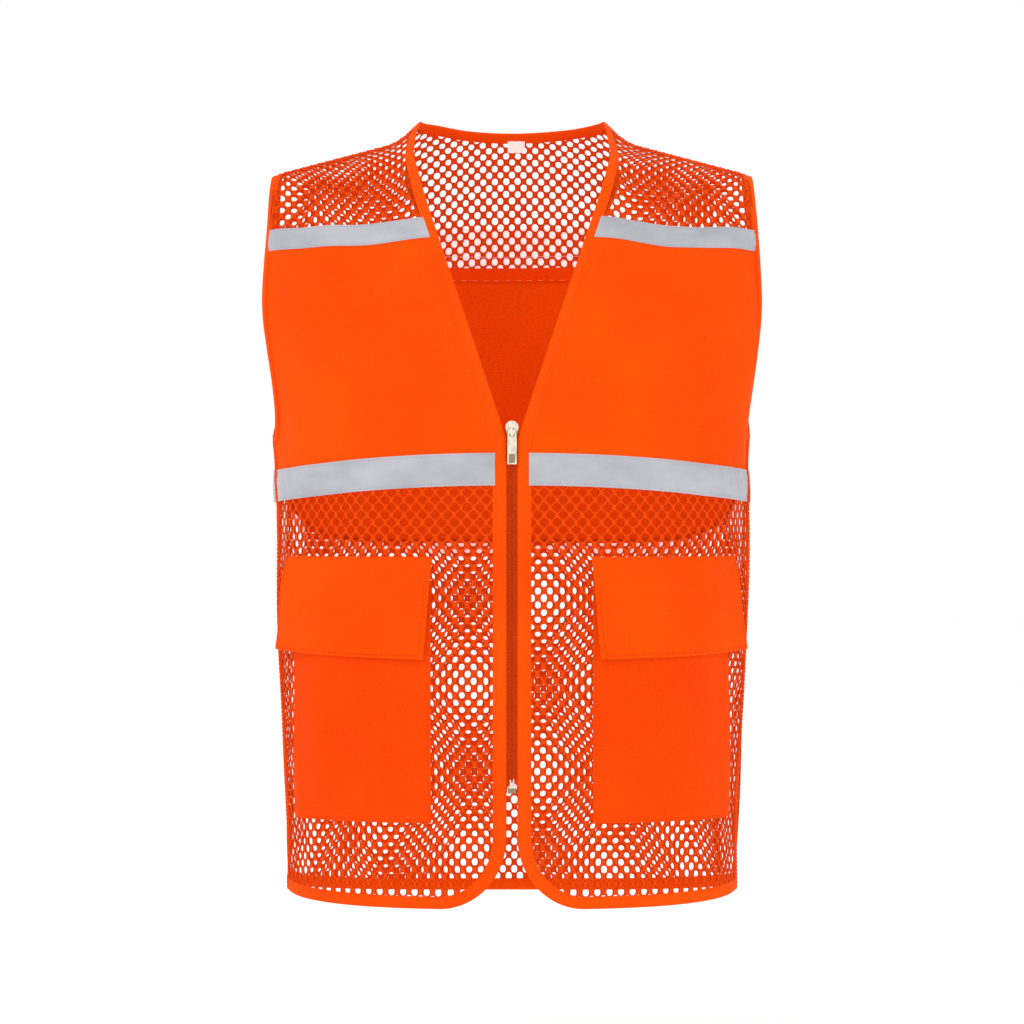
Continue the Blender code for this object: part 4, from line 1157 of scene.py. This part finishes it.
def armhole_binding(side):
    name = word(side)
    low = np.linspace(0.0, 1.0, 24)
    angle = np.radians(90.0 * low)
    front_q = ARMHOLE_Z + ARMHOLE_ROUND * (1.0 - np.cos(angle))
    front_turn = SIDE_SEAM - ARMHOLE_FRONT * np.sin(angle)
    rise_q = np.linspace(ARMHOLE_Z + ARMHOLE_ROUND, RIDGE_Q - 0.004, 50)[1:]
    turn = np.concatenate([front_turn, armhole_turn(rise_q)])
    q = np.concatenate([front_q, rise_q])
    front = edge_frame(turn, q, side)[:3]
    back_rise = rise_q[::-1]
    back_turn = SIDE_SEAM + ARMHOLE_BACK * np.sin(angle[::-1])
    turn = np.concatenate([armhole_turn(back_rise, True), back_turn[:-1]])
    q = np.concatenate([back_rise, front_q[::-1][:-1]])
    back = edge_frame(turn, q, side)[:3]
    bridge = shoulder_join(front, back)
    points, normals, across = (np.concatenate([p[k] for p in (front, bridge, back)]) for k in range(3))
    width = np.full(len(points), BINDING_WIDTH)
    thing = swept_binding(f"{name}_armhole_edge", points, width, normals, across, f"{name}_stitches",
                          closed=True)
    nodes = [f"{name}_front_armhole_binding", f"{name}_armhole_binding"]
    finish_piece(thing, nodes, side=side)


def hem_binding():
    turn = np.linspace(SIDE_SEAM + 1.0, 359.0 - SIDE_SEAM, 160)
    points, normals, across, _ = edge_frame(turn, hem_z(turn), 1)
    width = np.full(len(points), HEM_WIDTH)
    thing = swept_binding("back_hem_edge", points, width, normals, across, "back_stitches")
    finish_piece(thing, ["back_hem_binding"], "root")


# ------------------------------------------------------------------ pockets

def pocket_lift(across, up):
    """How far the pocket stands off the net, at distances from its inner edge and from its bottom."""
    edge = np.minimum(np.minimum(across, POCKET_WIDTH - across), up)
    turned = 0.0003 * smooth((0.0095 - edge) / 0.0009)
    groove = -0.0004 * np.exp(-((edge - POCKET_STITCH) / 0.0008) ** 2)
    sag = 0.0005 * np.sin(46.0 * across + 21.0 * up) + 0.0004 * np.sin(75.0 * up - 31.0 * across + 1.0)
    slack = smooth((edge - 0.004) / 0.030)
    return 0.0011 + POCKET_PUFF * slack + turned + groove + sag * slack


def pocket(side):
    name = word(side)
    turn, q = cloth_grid(hemmed_shares(POCKET_WIDTH, 44), hemmed_shares(POCKET_HEIGHT, 84, True, False),
                         beside(POCKET_IN_X), beside(POCKET_OUT_X),
                         level(POCKET_LOW_Z), level(POCKET_MOUTH_Z))
    across, up = arc(turn) - arc(turn_at(POCKET_IN_X, q)), q - POCKET_LOW_Z
    lift = pocket_lift(across, up)
    # The pocket's cloth is darkened with painted shade.
    thing = lay_sheet(f"{name}_patch_pocket", turn, q, side, WOVEN_THICK / 2.0, lift, POCKET_CLOTH_PAINTED_SHADE)
    hem_q = np.linspace(POCKET_MOUTH_Z, POCKET_LOW_Z + POCKET_STITCH, 60)
    foot = np.linspace(0.0, 1.0, 40)[1:-1]
    low_q = POCKET_LOW_Z + POCKET_STITCH + 0.0 * foot
    inner = turn_at(POCKET_IN_X + POCKET_STITCH, hem_q)
    outer = turn_at(POCKET_OUT_X - POCKET_STITCH * 0.6, hem_q)
    stitch_on_cloth(f"{name}_stitches", np.concatenate([inner, mix(inner[-1], outer[-1], foot), outer[::-1]]),
                    np.concatenate([hem_q, low_q, hem_q[::-1]]), side, 0.0016)
    finish_piece(thing, [f"{name}_pocket"], body_name(side))
    patch(side, f"{name}_loop_patch", f"{name}_pocket_loop_patch", body_name(side),
          lambda across, up: pocket_lift(across, up) + 0.0009)


def patch(side, name, node, body, lift_of):
    """A strip of hook and loop, sewn flat."""
    turn, q = cloth_grid(24, 12, beside(PATCH_IN_X), beside(PATCH_OUT_X),
                         level(PATCH_LOW_Z), level(PATCH_HIGH_Z))
    across, up = arc(turn) - arc(turn_at(POCKET_IN_X, q)), q - POCKET_LOW_Z
    thing = lay_sheet(name, turn, q, side, 0.0004, lift_of(across, up), HOOK)
    finish_piece(thing, [node], body)


def flap_lift(share, down):
    """How far the flap stands off the net, across it from 0 to 1 and at a distance below its top."""
    fold_over = 0.0022 + (FLAP_STAND - 0.0022) * smooth(down / 0.018)
    curl = 0.0010 * smooth((down - 0.055) / 0.03) * (2.0 * share - 1.0) ** 2
    bow = 0.0005 * np.sin(5.2 * share + 30.0 * down) * smooth(down / 0.02)
    return fold_over + curl + bow


def flap_foot_q(share):
    return FLAP_LOW_Z - 0.0035 + 0.0060 * share - 0.0010 * np.sin(math.pi * share)


def flap_place(share, up):
    """Turn, q and lift of the flap, at shares of the way outwards and up from its foot."""
    q = mix(flap_foot_q(share), FLAP_TOP_Z, up)
    lean = (FLAP_TOP_Z - q) / FLAP_HEIGHT
    inner = turn_at(POCKET_IN_X - FLAP_OVERHANG + 0.0015 + 0.0060 * lean, q)
    outer = turn_at(POCKET_OUT_X + FLAP_OVERHANG + FLAP_SPREAD * lean, q)
    return mix(inner, outer, share), q, flap_lift(share, FLAP_TOP_Z - q)


def flap_on_bodies(thing):
    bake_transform(thing)


def flap(side):
    name = word(side)
    u = hemmed_shares(FLAP_WIDTH, 40)[None, :]
    v = (1.0 - hemmed_shares(FLAP_HEIGHT, 26)[::-1])[:, None]
    turn, q, lift = flap_place(u, v)
    edge = np.minimum(np.minimum(u, 1.0 - u) * FLAP_WIDTH, q - flap_foot_q(u))
    rolled = np.sqrt(np.clip(1.0 - (1.0 - np.clip(edge / 0.0011, 0.0, 1.0)) ** 2, 0.0, 1.0))
    half = 0.00015 + 0.00065 * rolled + 0.00012 * smooth((0.0090 - edge) / 0.0009)
    groove = np.exp(-((edge - FLAP_STITCH) / 0.0008) ** 2)
    half = (half - 0.00015 * groove).ravel()
    thing = lay_sheet(f"{name}_flap", turn, q, side, half, lift - 0.0002 * groove, WOVEN)
    flap_on_bodies(thing)
    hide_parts(f"{name}_pocket_flap")

    inset, raised = FLAP_STITCH / FLAP_WIDTH, FLAP_STITCH / FLAP_HEIGHT
    rise = np.linspace(0.985, raised, 40)
    foot = np.linspace(0.0, 1.0, 50)[1:-1]
    runs = [flap_place(inset + 0.0 * rise, rise),
            flap_place(mix(inset, 1.0 - inset, foot), raised + 0.0 * foot),
            flap_place(1.0 - inset + 0.0 * rise, rise[::-1])]
    turn, q, lift = (np.concatenate([run[k] for run in runs]) for k in range(3))
    stitch_row(f"{name}_flap_stitches", *cloth(turn * side, q, lift + 0.00072))
    flap_on_bodies(finish_stitches(f"{name}_flap_stitches", THREAD))

    patch(side, f"{name}_hook_patch", f"{name}_flap_hook_patch", f"flap_{name}",
          lambda across, up: flap_lift(across / POCKET_WIDTH, FLAP_TOP_Z - POCKET_LOW_Z - up) - 0.0013)
    top = np.linspace(0.01, 0.99, 60)
    turn, q, lift = flap_place(top, 1.0 - 0.0020 / FLAP_HEIGHT + 0.0 * top)
    stitch_row(f"{name}_stitches", *cloth(turn * side, q, lift + 0.00075))


# ------------------------------------------------------------------ seams, label and inner band

def side_seam(side):
    """Felled seam that holds front and back together and covers the tapes' ends."""
    name = word(side)
    u = np.array([0.0, 0.08, 0.25, 0.5, 0.75, 0.92, 1.0])[None, :]
    low, high = float(hem_z(SIDE_SEAM)) + 0.001, ARMHOLE_Z + 0.001
    q = np.linspace(low, high, 180)[:, None] + 0.0 * u
    turn = mix(*WELT_TURNS, u) + 0.0 * q
    belt = np.exp(-((q - low_tape_z(turn)) / 0.014) ** 4)
    crown = 0.0006 * np.sin(math.pi * u) + 0.00025 * np.sin(q * 2.0 * math.pi / 0.0058)
    thing = lay_sheet(f"{name}_side_welt", turn, q, side, 0.0005, 0.0007 + 0.0011 * belt + crown, SEAM_CLOTH)
    for share in (0.18, 0.82):
        line = np.linspace(low, high, 120)
        at = mix(*WELT_TURNS, share) + 0.0 * line
        lift = 0.0016 + 0.0011 * np.exp(-((line - low_tape_z(at)) / 0.014) ** 4)
        stitch_row(f"{name}_stitches", *cloth(at * side, line, lift))
    finish_piece(thing, [f"{name}_side_seam"], side=side)


def shoulder_seam(side):
    """Band of gathered net over the shoulder's ridge."""
    name = word(side)
    x = np.linspace(NECK_X + 0.0075, SHOULDER_X - 0.006, 70)[None, :]
    way = np.linspace(-1.0, 1.0, 15)[:, None]
    reach = SHOULDER_SEAM_HALF + 0.0015
    q = RIDGE_Q - np.abs(way) * reach + 0.0 * x
    turn = turn_at(x, q)
    turn = np.where(way <= 0.0, turn, 180.0 - turn)
    points = surface(turn, q)
    points[..., 2] -= 0.0035 * np.exp(-(way / 0.22) ** 2) * 0.4
    normals = unit(np.cross(np.gradient(points, axis=1), np.gradient(points, axis=0)))
    gather = 0.00035 * np.sin(x * 2.0 * math.pi / 0.0071 + 2.0 * way) * (1.0 - way ** 2)
    points = points + normals * (0.0009 + 0.0007 * np.exp(-(way / 0.5) ** 2) + gather)[..., None]
    if side < 0:
        points[..., 0] *= -1.0
        normals[..., 0] *= -1.0
    rows, columns = q.shape
    faces = grid_faces(rows, columns, flip=side < 0)
    solid, quads = thicken(points.reshape(-1, 3), normals.reshape(-1, 3), 0.0006, faces)
    uv = np.stack([x + 0.0 * way, reach * way + 0.0 * x], -1).reshape(-1, 2)
    thing = make_mesh(f"{name}_shoulder_band", solid, quads, np.concatenate([uv, uv]))
    thing.data.materials.append(SEAM_CLOTH)
    finish_piece(thing, [f"{name}_shoulder_seam"], "root")
    for row in (3, 11):
        stitch_row(f"{name}_shoulder_stitches", points[row] + normals[row] * 0.0007, normals[row])
    rows = finish_stitches(f"{name}_shoulder_stitches", THREAD)
    finish_piece(rows, body="root")


def label():
    """A small blank label, which hangs inside the back neck."""
    turn, q = cloth_grid(14, 10, lambda z, q: 180.0 - turn_at(LABEL_LEFT_X, q),
                         lambda z, q: 180.0 + turn_at(LABEL_RIGHT_X, q),
                         level(LABEL_LOW_Z), level(LABEL_HIGH_Z))
    v = np.linspace(0.0, 1.0, turn.shape[0])[:, None]
    lift = -0.0026 + 0.0009 * v - 0.0006 * (1.0 - v) ** 2
    thing = lay_sheet("blank_label", turn, q, 1, 0.00018, lift, LABEL)
    finish_piece(thing, ["neck_label"], "root")


def inner_band():
    """Facing behind the back yoke's seam, with rows of pale thread, and the tape's white underlay."""
    def left(z, q):
        return armhole_turn(q, True, BINDING_WIDTH - TAPE_LAP)

    turn, q = cloth_grid(110, 10, left, mirrored(left),
                         level(UNDERLAY_LOW_Z), lambda t: high_tape_z(t)[1] - 0.001)
    under = lay_sheet("back_tape_underlay", turn, q, 1, 0.00014, UNDERLAY_OUT, BACKING)
    finish_piece(under, body="root")
    turn, q = cloth_grid(110, 6, left, mirrored(left), level(BAND_LOW_Z), level(BAND_HIGH_Z))
    thing = lay_sheet("back_inner_band", turn, q, 1, 0.0003, -0.0009, BAND)
    finish_piece(thing, body="root")
    for group, material, height, pitch, length, radius in (
            ("back_band_stitches", BAND_THREAD, BAND_LOW_Z + 0.0010, 0.0098, 0.0047, 0.00045),
            ("back_white_stitches", WHITE_THREAD, WHITE_ROW_Z, 0.0027, 0.0025, 0.00026)):
        turn = np.linspace(112.0, 248.0, 260)
        points, normals = cloth(turn, q_at(turn, height), 0.0 * turn - 0.0014)
        stitch_row(group, points, -normals, pitch=pitch, length=length, radius=radius)
        finish_piece(finish_stitches(group, material), body="root")


# ------------------------------------------------------------------ zip

def solid(name, parts, material):
    """One mesh of closed lofts. Each is a list of rings with the same number of points."""
    bm = bmesh.new()
    for rings in parts:
        loops = [[bm.verts.new(point) for point in ring] for ring in rings]
        count = len(loops[0])
        for a, b in zip(loops, loops[1:]):
            for i in range(count):
                bm.faces.new((a[i], a[(i + 1) % count], b[(i + 1) % count], b[i]))
        bm.faces.new(loops[0][::-1])
        bm.faces.new(loops[-1])
    bmesh.ops.recalc_face_normals(bm, faces=bm.faces)
    mesh = bpy.data.meshes.new(name)
    bm.to_mesh(mesh)
    bm.free()
    mesh.shade_smooth()
    mesh.set_sharp_from_angle(angle=math.radians(METAL_EDGE))
    mesh.materials.append(material)
    return add_object(name, mesh)


def face_plate(outline, y_front, y_back, bevel):
    """Rings of a bevelled plate: outline is a list of (x, z), and the bevel is in metres."""
    outline = np.asarray(outline, float)
    middle = (outline.max(axis=0) + outline.min(axis=0)) / 2.0
    reach = (outline.max(axis=0) - outline.min(axis=0)) / 2.0
    rings = []
    for y, inset in ((y_front, bevel), (y_front + 0.35 * bevel, 0.3 * bevel), (y_front + bevel, 0.0),
                     (y_back - bevel, 0.0), (y_back - 0.35 * bevel, 0.3 * bevel), (y_back, bevel)):
        flat = middle + (outline - middle) * (1.0 - inset / reach)
        rings.append(np.stack([flat[:, 0], np.full(len(flat), y), flat[:, 1]], -1))
    return rings


def rounded(x_low, x_high, z_low, z_high, radius, steps=5):
    """Outline of a rectangle with rounded corners."""
    points = []
    for x, z, start in ((x_high - radius, z_high - radius, 0.0), (x_low + radius, z_high - radius, 90.0),
                        (x_low + radius, z_low + radius, 180.0), (x_high - radius, z_low + radius, 270.0)):
        for i in range(steps + 1):
            angle = math.radians(start + 90.0 * i / steps)
            points.append((x + radius * math.cos(angle), z + radius * math.sin(angle)))
    return points


def second_material(thing, material, chosen):
    """Give the faces whose centre is chosen another material."""
    thing.data.materials.append(material)
    for polygon in thing.data.polygons:
        if chosen(polygon.center):
            polygon.material_index = 1


def zip_cloth(side):
    """Tape of one half of the zip. The right one reaches a little under the left one."""
    name = word(side)
    edge, out = (0.0002, -0.0014) if side > 0 else (-0.0006, -0.0020)

    def inner(z, q):
        beside_box = mix(0.0040, edge, smooth((z - CHAIN_LOW_Z) / 0.003))
        x = beside_box + (0.0010 - edge) * smooth((z - 0.4080) / 0.002)
        return np.copysign(turn_at(np.abs(x), q), x)

    turn, q = cloth_grid(10, 260, inner, beside(ZIP_CLOTH_OUT_X),
                         level(ZIP_CLOTH_LOW_Z), level(ZIP_CLOTH_HIGH_Z))
    thing = lay_sheet(f"{name}_zip_cloth", turn, q, side, 0.00025, out, ZIP_CLOTH)
    finish_piece(thing, [f"{name}_zip_tape"], body_name(side))


def coil(side):
    """Teeth of a nylon coil. The two halves stand half a pitch apart."""
    name = word(side)
    z = np.arange(TEETH_LOW_Z, CHAIN_HIGH_Z - 0.001, TOOTH_PITCH) + (TOOTH_PITCH / 2.0 if side > 0 else 0.0)
    along = np.array([0.0037, 0.0034, 0.0026, 0.0016, 0.0007, 0.0002, -0.00015])
    size = np.array([0.45, 0.88, 0.95, 0.95, 1.08, 0.95, 0.35])
    around = np.radians(np.arange(8) * 45.0 + 22.5)
    ring = np.empty((len(z), len(along), 8, 3))
    ring[..., 0] = along[None, :, None] * side
    ring[..., 1] = -FRONT_DEPTH + 0.0002 + (size[:, None] * np.cos(around) * TOOTH_DEPTH)[None]
    ring[..., 2] = (z[:, None, None] + (size[:, None] * np.sin(around) * TOOTH_HEIGHT)[None]
                    + (0.00018 * side) * (along[None, :, None] / along[0]))
    faces = grid_faces(len(along), 8, closed=True)
    last = (len(along) - 1) * 8
    caps = [[0, 1, 2, 3], [0, 3, 4, 7], [4, 5, 6, 7]]
    faces = np.concatenate([faces, caps, [[last + k for k in cap[::-1]] for cap in caps]])
    faces = (faces[None] + (np.arange(len(z)) * len(along) * 8)[:, None, None]).reshape(-1, 4)
    thing = make_mesh(f"{name}_teeth", ring.reshape(-1, 3), faces, smooth_angle=60.0)
    outward_faces(thing)
    thing.data.materials.append(COIL)
    finish_piece(thing, [f"{name}_zip_coil"], body_name(side))
    low = CHAIN_HIGH_Z + 0.0003
    stop = solid(f"{name}_upper_stop", [face_plate(rounded(*sorted((0.0011 * side, 0.0034 * side)), low,
                 low + 0.0024, 0.0005), -FRONT_DEPTH - 0.0009, -FRONT_DEPTH + 0.0012, 0.0003)], METAL)
    finish_piece(stop, [f"{name}_top_stop"], body_name(side))


def post(x, radius, low, high):
    """Rings of an upright pin with rounded ends."""
    angles = np.radians(np.arange(12) * 30.0)
    rings = []
    for z, share in ((low, 0.5), (low + 0.0003, 1.0),
                     (high - 0.0004, 1.0), (high - 0.0001, 0.75), (high, 0.3)):
        rings.append(np.stack([x + radius * share * np.cos(angles),
                               -FRONT_DEPTH + 0.0003 + 1.2 * radius * share * np.sin(angles),
                               np.full(12, z)], -1))
    return rings


def retainer():
    """Box at the chain's foot, open towards the wearer's left, with its own pin, and the left half's pin."""
    def shell(grow, low, high, taper):
        front, back = -FRONT_DEPTH - 0.0017 - grow, -FRONT_DEPTH + 0.0023 + grow
        left, right, wall = -0.0034 - grow, 0.0033 + grow, 0.0008
        outline = [(right, front), (right, front + wall), (0.0, front + wall),
                   (-0.0002, front + wall + 0.0002), (-0.0002, back - wall - 0.0002),
                   (0.0, back - wall), (right, back - wall), (right, back),
                   (left + wall, back), (left, back - wall), (left, front + wall), (left + wall, front)]
        rings = []
        for z, shrink in ((low, taper), (low + 0.0005, taper * 0.4), (low + 0.0012, 0.0),
                          (high - 0.0002, 0.0), (high, 0.02)):
            rings.append([(x * (1.0 - shrink), y, z) for x, y in outline])
        return rings

    box_low, box_high, collar_z = BOX_LOW_Z, BOX_HIGH_Z, BOX_HIGH_Z - COLLAR_HEIGHT
    parts = [shell(0.0, box_low, collar_z + 0.0002, 0.05), shell(0.0003, collar_z, box_high, 0.0),
             post(-0.0013, 0.00085, box_low + 0.0008, TEETH_LOW_Z + 0.0002)]
    thing = solid("retainer", parts, METAL)
    # Painted shade: the box is darker below its collar.
    second_material(thing, PAINTED_SHADE_METAL, lambda c: c.z < collar_z - 0.0002)
    finish_piece(thing, ["retainer_box"], "front_right")
    pin = solid("left_pin", [post(0.0013, 0.00080, box_low + 0.0012, TEETH_LOW_Z + 0.0004)], METAL)
    finish_piece(pin, ["insertion_pin"], "front_left")


def bridge_rings():
    """Flat bar from above the pull's head, over its front, and through its opening to the face."""
    path = np.array([(-0.1470, 0.4096), (-0.1487, 0.4097), (-0.1503, 0.4097), (-0.1512, 0.4088),
                     (-0.1515, 0.4070), (-0.1515, 0.4050), (-0.1512, 0.4032), (-0.1503, 0.4024),
                     (-0.1487, 0.4023), (-0.1470, 0.4023)])
    tangent = unit(np.gradient(path, axis=0))
    angles = np.radians(np.arange(16) * 22.5)
    bar_x = 0.0013 * signed_power(np.cos(angles), 0.6)
    bar_n = 0.00045 * signed_power(np.sin(angles), 0.6)
    return [np.stack([bar_x, y - bar_n * t_z, z + bar_n * t_y], -1)
            for (y, z), (t_y, t_z) in zip(path, tangent)]


def slider():
    """Rounded crown and rear plate, a post between the coils, and the bridge that holds the pull."""
    outline = []
    for i in range(29):
        angle = math.radians(-38.0 + 256.0 * i / 28.0)
        outline.append((CROWN_R * math.cos(angle), CROWN_Z + CROWN_R * math.sin(angle)))
    outline += [(-0.0039, 0.4046), (-0.0037, 0.4020), (-0.0030, 0.4013),
                (0.0030, 0.4013), (0.0037, 0.4020), (0.0039, 0.4046)]
    face, rear = -FRONT_DEPTH - SLIDER_FACE, -FRONT_DEPTH + SLIDER_REAR
    front, shadow_disc_y = face - SLIDER_THICK, face - SLIDER_THICK - SHADOW_DISC_OUT
    divider = rounded(0.0008, 0.0018, 0.4112, 0.4152, 0.0004)
    parts = [face_plate(outline, front, face, 0.00035), face_plate(outline, rear, rear + 0.0010, 0.0003),
             face_plate(divider, face - 0.0002, rear + 0.0002, 0.0001)]
    for sign in (-1.0, 1.0):
        rail = rounded(*sorted((sign * 0.0037, sign * 0.0046)), 0.4055, 0.4120, 0.0003)
        parts.append(face_plate(rail, face - 0.0002, face + 0.0009, 0.0002))
    parts.append(bridge_rings())
    # Painted shadow: a dark disc on the crown, a little larger than the pull's head, shows round the head as
    # its shadow.
    angles = np.radians(10.0 * np.arange(36))
    shadow_disc = np.stack([0.0043 * np.cos(angles), 0.4056 + 0.0041 * np.sin(angles)], -1)
    parts.append(face_plate(shadow_disc, shadow_disc_y, face - 0.0008, 0.00004))
    thing = solid("slider_body", parts, METAL)
    second_material(thing, SHADOW_METAL, lambda c: abs(c.y - shadow_disc_y) < 0.00003)
    finish_piece(thing, ["zip_slider"], "slider")


def pull():
    """Tab with a rounded head, its opening for the bridge, and a framed recess at its foot."""
    y = -FRONT_DEPTH - PULL_AXIS_OUT
    half, wide, joint_z = 0.00062, 0.0039, 0.3892
    face = y - half - 0.00006
    count = 40
    angles = np.radians(90.0 + 360.0 * np.arange(count) / count)
    neck_z, foot_z, hole_z = 0.4012, PULL_AXIS_Z - PULL_LENGTH, 0.4039
    outer = np.stack([0.0037 * signed_power(np.cos(angles), 0.8), 0.4056 + 0.0035 * np.sin(angles)], -1)
    low = np.sin(angles) < 0.0
    outer[low, 1] = mix(0.4056, neck_z - 0.0008, np.abs(np.sin(angles[low])) ** 0.35)
    outer[low, 0] = 0.0037 * signed_power(np.cos(angles[low]), 0.35)
    hole = np.stack([0.0023 * np.cos(angles), hole_z + np.where(low, 0.0021, 0.0009) * np.sin(angles)], -1)
    bm = bmesh.new()
    loops = []
    for ring, depth in ((outer, half), (outer, -half), (hole, -half), (hole, half)):
        loops.append([bm.verts.new((px, y + depth, pz)) for px, pz in ring])
    for a, b in zip(loops, loops[1:] + loops[:1]):
        for i in range(count):
            bm.faces.new((a[i], a[(i + 1) % count], b[(i + 1) % count], b[i]))
    head = bpy.data.meshes.new("pull_head")
    bmesh.ops.recalc_face_normals(bm, faces=bm.faces)
    bm.to_mesh(head)
    bm.free()
    upper = face_plate(rounded(-wide, wide, joint_z - 0.0004, neck_z + 0.0002, 0.0007),
                       y - half - 0.00008, y + half, 0.00028)
    outline = rounded(-wide, wide, foot_z, joint_z, 0.0008)
    frame_rings = face_plate(outline, face, y + half, 0.00028)[::-1]
    middle = np.array([0.0, (foot_z + joint_z) / 2.0])
    reach = np.array([wide, (joint_z - foot_z) / 2.0])
    for inset, depth in ((0.0010, 0.0), (0.0013, PULL_RECESS)):
        flat = middle + (np.asarray(outline) - middle) * (1.0 - inset / reach)
        frame_rings.append(np.stack([flat[:, 0], np.full(len(flat), face + depth), flat[:, 1]], -1))
    thing = solid("pull_tab", [upper, frame_rings], METAL)
    bm = bmesh.new()
    bm.from_mesh(thing.data)
    bm.from_mesh(head)
    bm.to_mesh(thing.data)
    bm.free()
    bpy.data.meshes.remove(head)
    # Painted shade on the floor of the tab's recess.
    second_material(thing, PAINTED_SHADE_METAL, lambda c: abs(c.y - (face + PULL_RECESS)) < 0.00002 and c.z < joint_z)
    thing.data.set_sharp_from_angle(angle=math.radians(METAL_EDGE))
    finish_piece(thing, ["zip_pull"], "pull")


# ------------------------------------------------------------------ scene

def stage():
    mesh = bpy.data.meshes.new("floor")
    bm = bmesh.new()
    bmesh.ops.create_circle(bm, cap_ends=True, segments=96, radius=14.0)
    bm.to_mesh(mesh)
    bm.free()
    floor = add_object("floor", mesh)
    floor.location = (0.0, 0.0, FLOOR_Z)
    mesh.materials.append(Shader("pale_floor", WHITE, 0.9).material)

    world = bpy.data.worlds.new("studio")
    bpy.context.scene.world = world
    world.use_nodes = True
    world.node_tree.nodes["Background"].inputs["Color"].default_value = (1.0, 1.0, 1.0, 1.0)
    world.node_tree.nodes["Background"].inputs["Strength"].default_value = 1.0

    def area(name, place, size, power):
        light = bpy.data.lights.new(name, "AREA")
        light.shape = "SQUARE"
        light.size = size
        light.energy = power
        lamp = add_object(name, light)
        lamp.location = place
        aim = Vector((0.0, 0.0, 0.35)) - Vector(place)
        lamp.rotation_euler = aim.to_track_quat("-Z", "Y").to_euler()

    area("key", (-1.8, -2.6, 2.3), 1.8, 14.0)
    area("fill", (2.4, -2.2, 1.2), 2.2, 6.0)
    area("rear", (0.9, 2.8, 2.2), 2.0, 10.0)

    lens = bpy.data.cameras.new("camera")
    lens.lens = LENS
    lens.sensor_width = 36.0
    lens.clip_end = 60.0
    camera = add_object("camera", lens)
    camera.location = (0.0, -PHOTO_DISTANCE, CAMERA_Z)
    camera.rotation_euler = (math.radians(90.0), 0.0, 0.0)
    bpy.context.scene.camera = camera
    bpy.context.scene.view_settings.view_transform = "Standard"


def main():
    stage()
    net_back()
    net_back_yoke()
    back_panel()
    back_tapes()
    hem_binding()
    for side in (1, -1):
        net_front(side)
        net_front_yoke(side)
        chest_panel(side)
        tapes(side)
        front_binding(side)
        armhole_binding(side)
        pocket(side)
        flap(side)
        side_seam(side)
        shoulder_seam(side)
        zip_cloth(side)
        coil(side)
    label()
    inner_band()
    retainer()
    slider()
    pull()
    for side in (1, -1):
        finish_piece(finish_stitches(f"{word(side)}_stitches", THREAD), side=side)
        rows = finish_stitches(f"{word(side)}_tape_stitches", TAPE_THREAD)
        finish_piece(rows, side=side)
    finish_piece(finish_stitches("back_stitches", THREAD), body="root")
    finish_piece(finish_stitches("back_tape_stitches", TAPE_THREAD), body="root")


main()
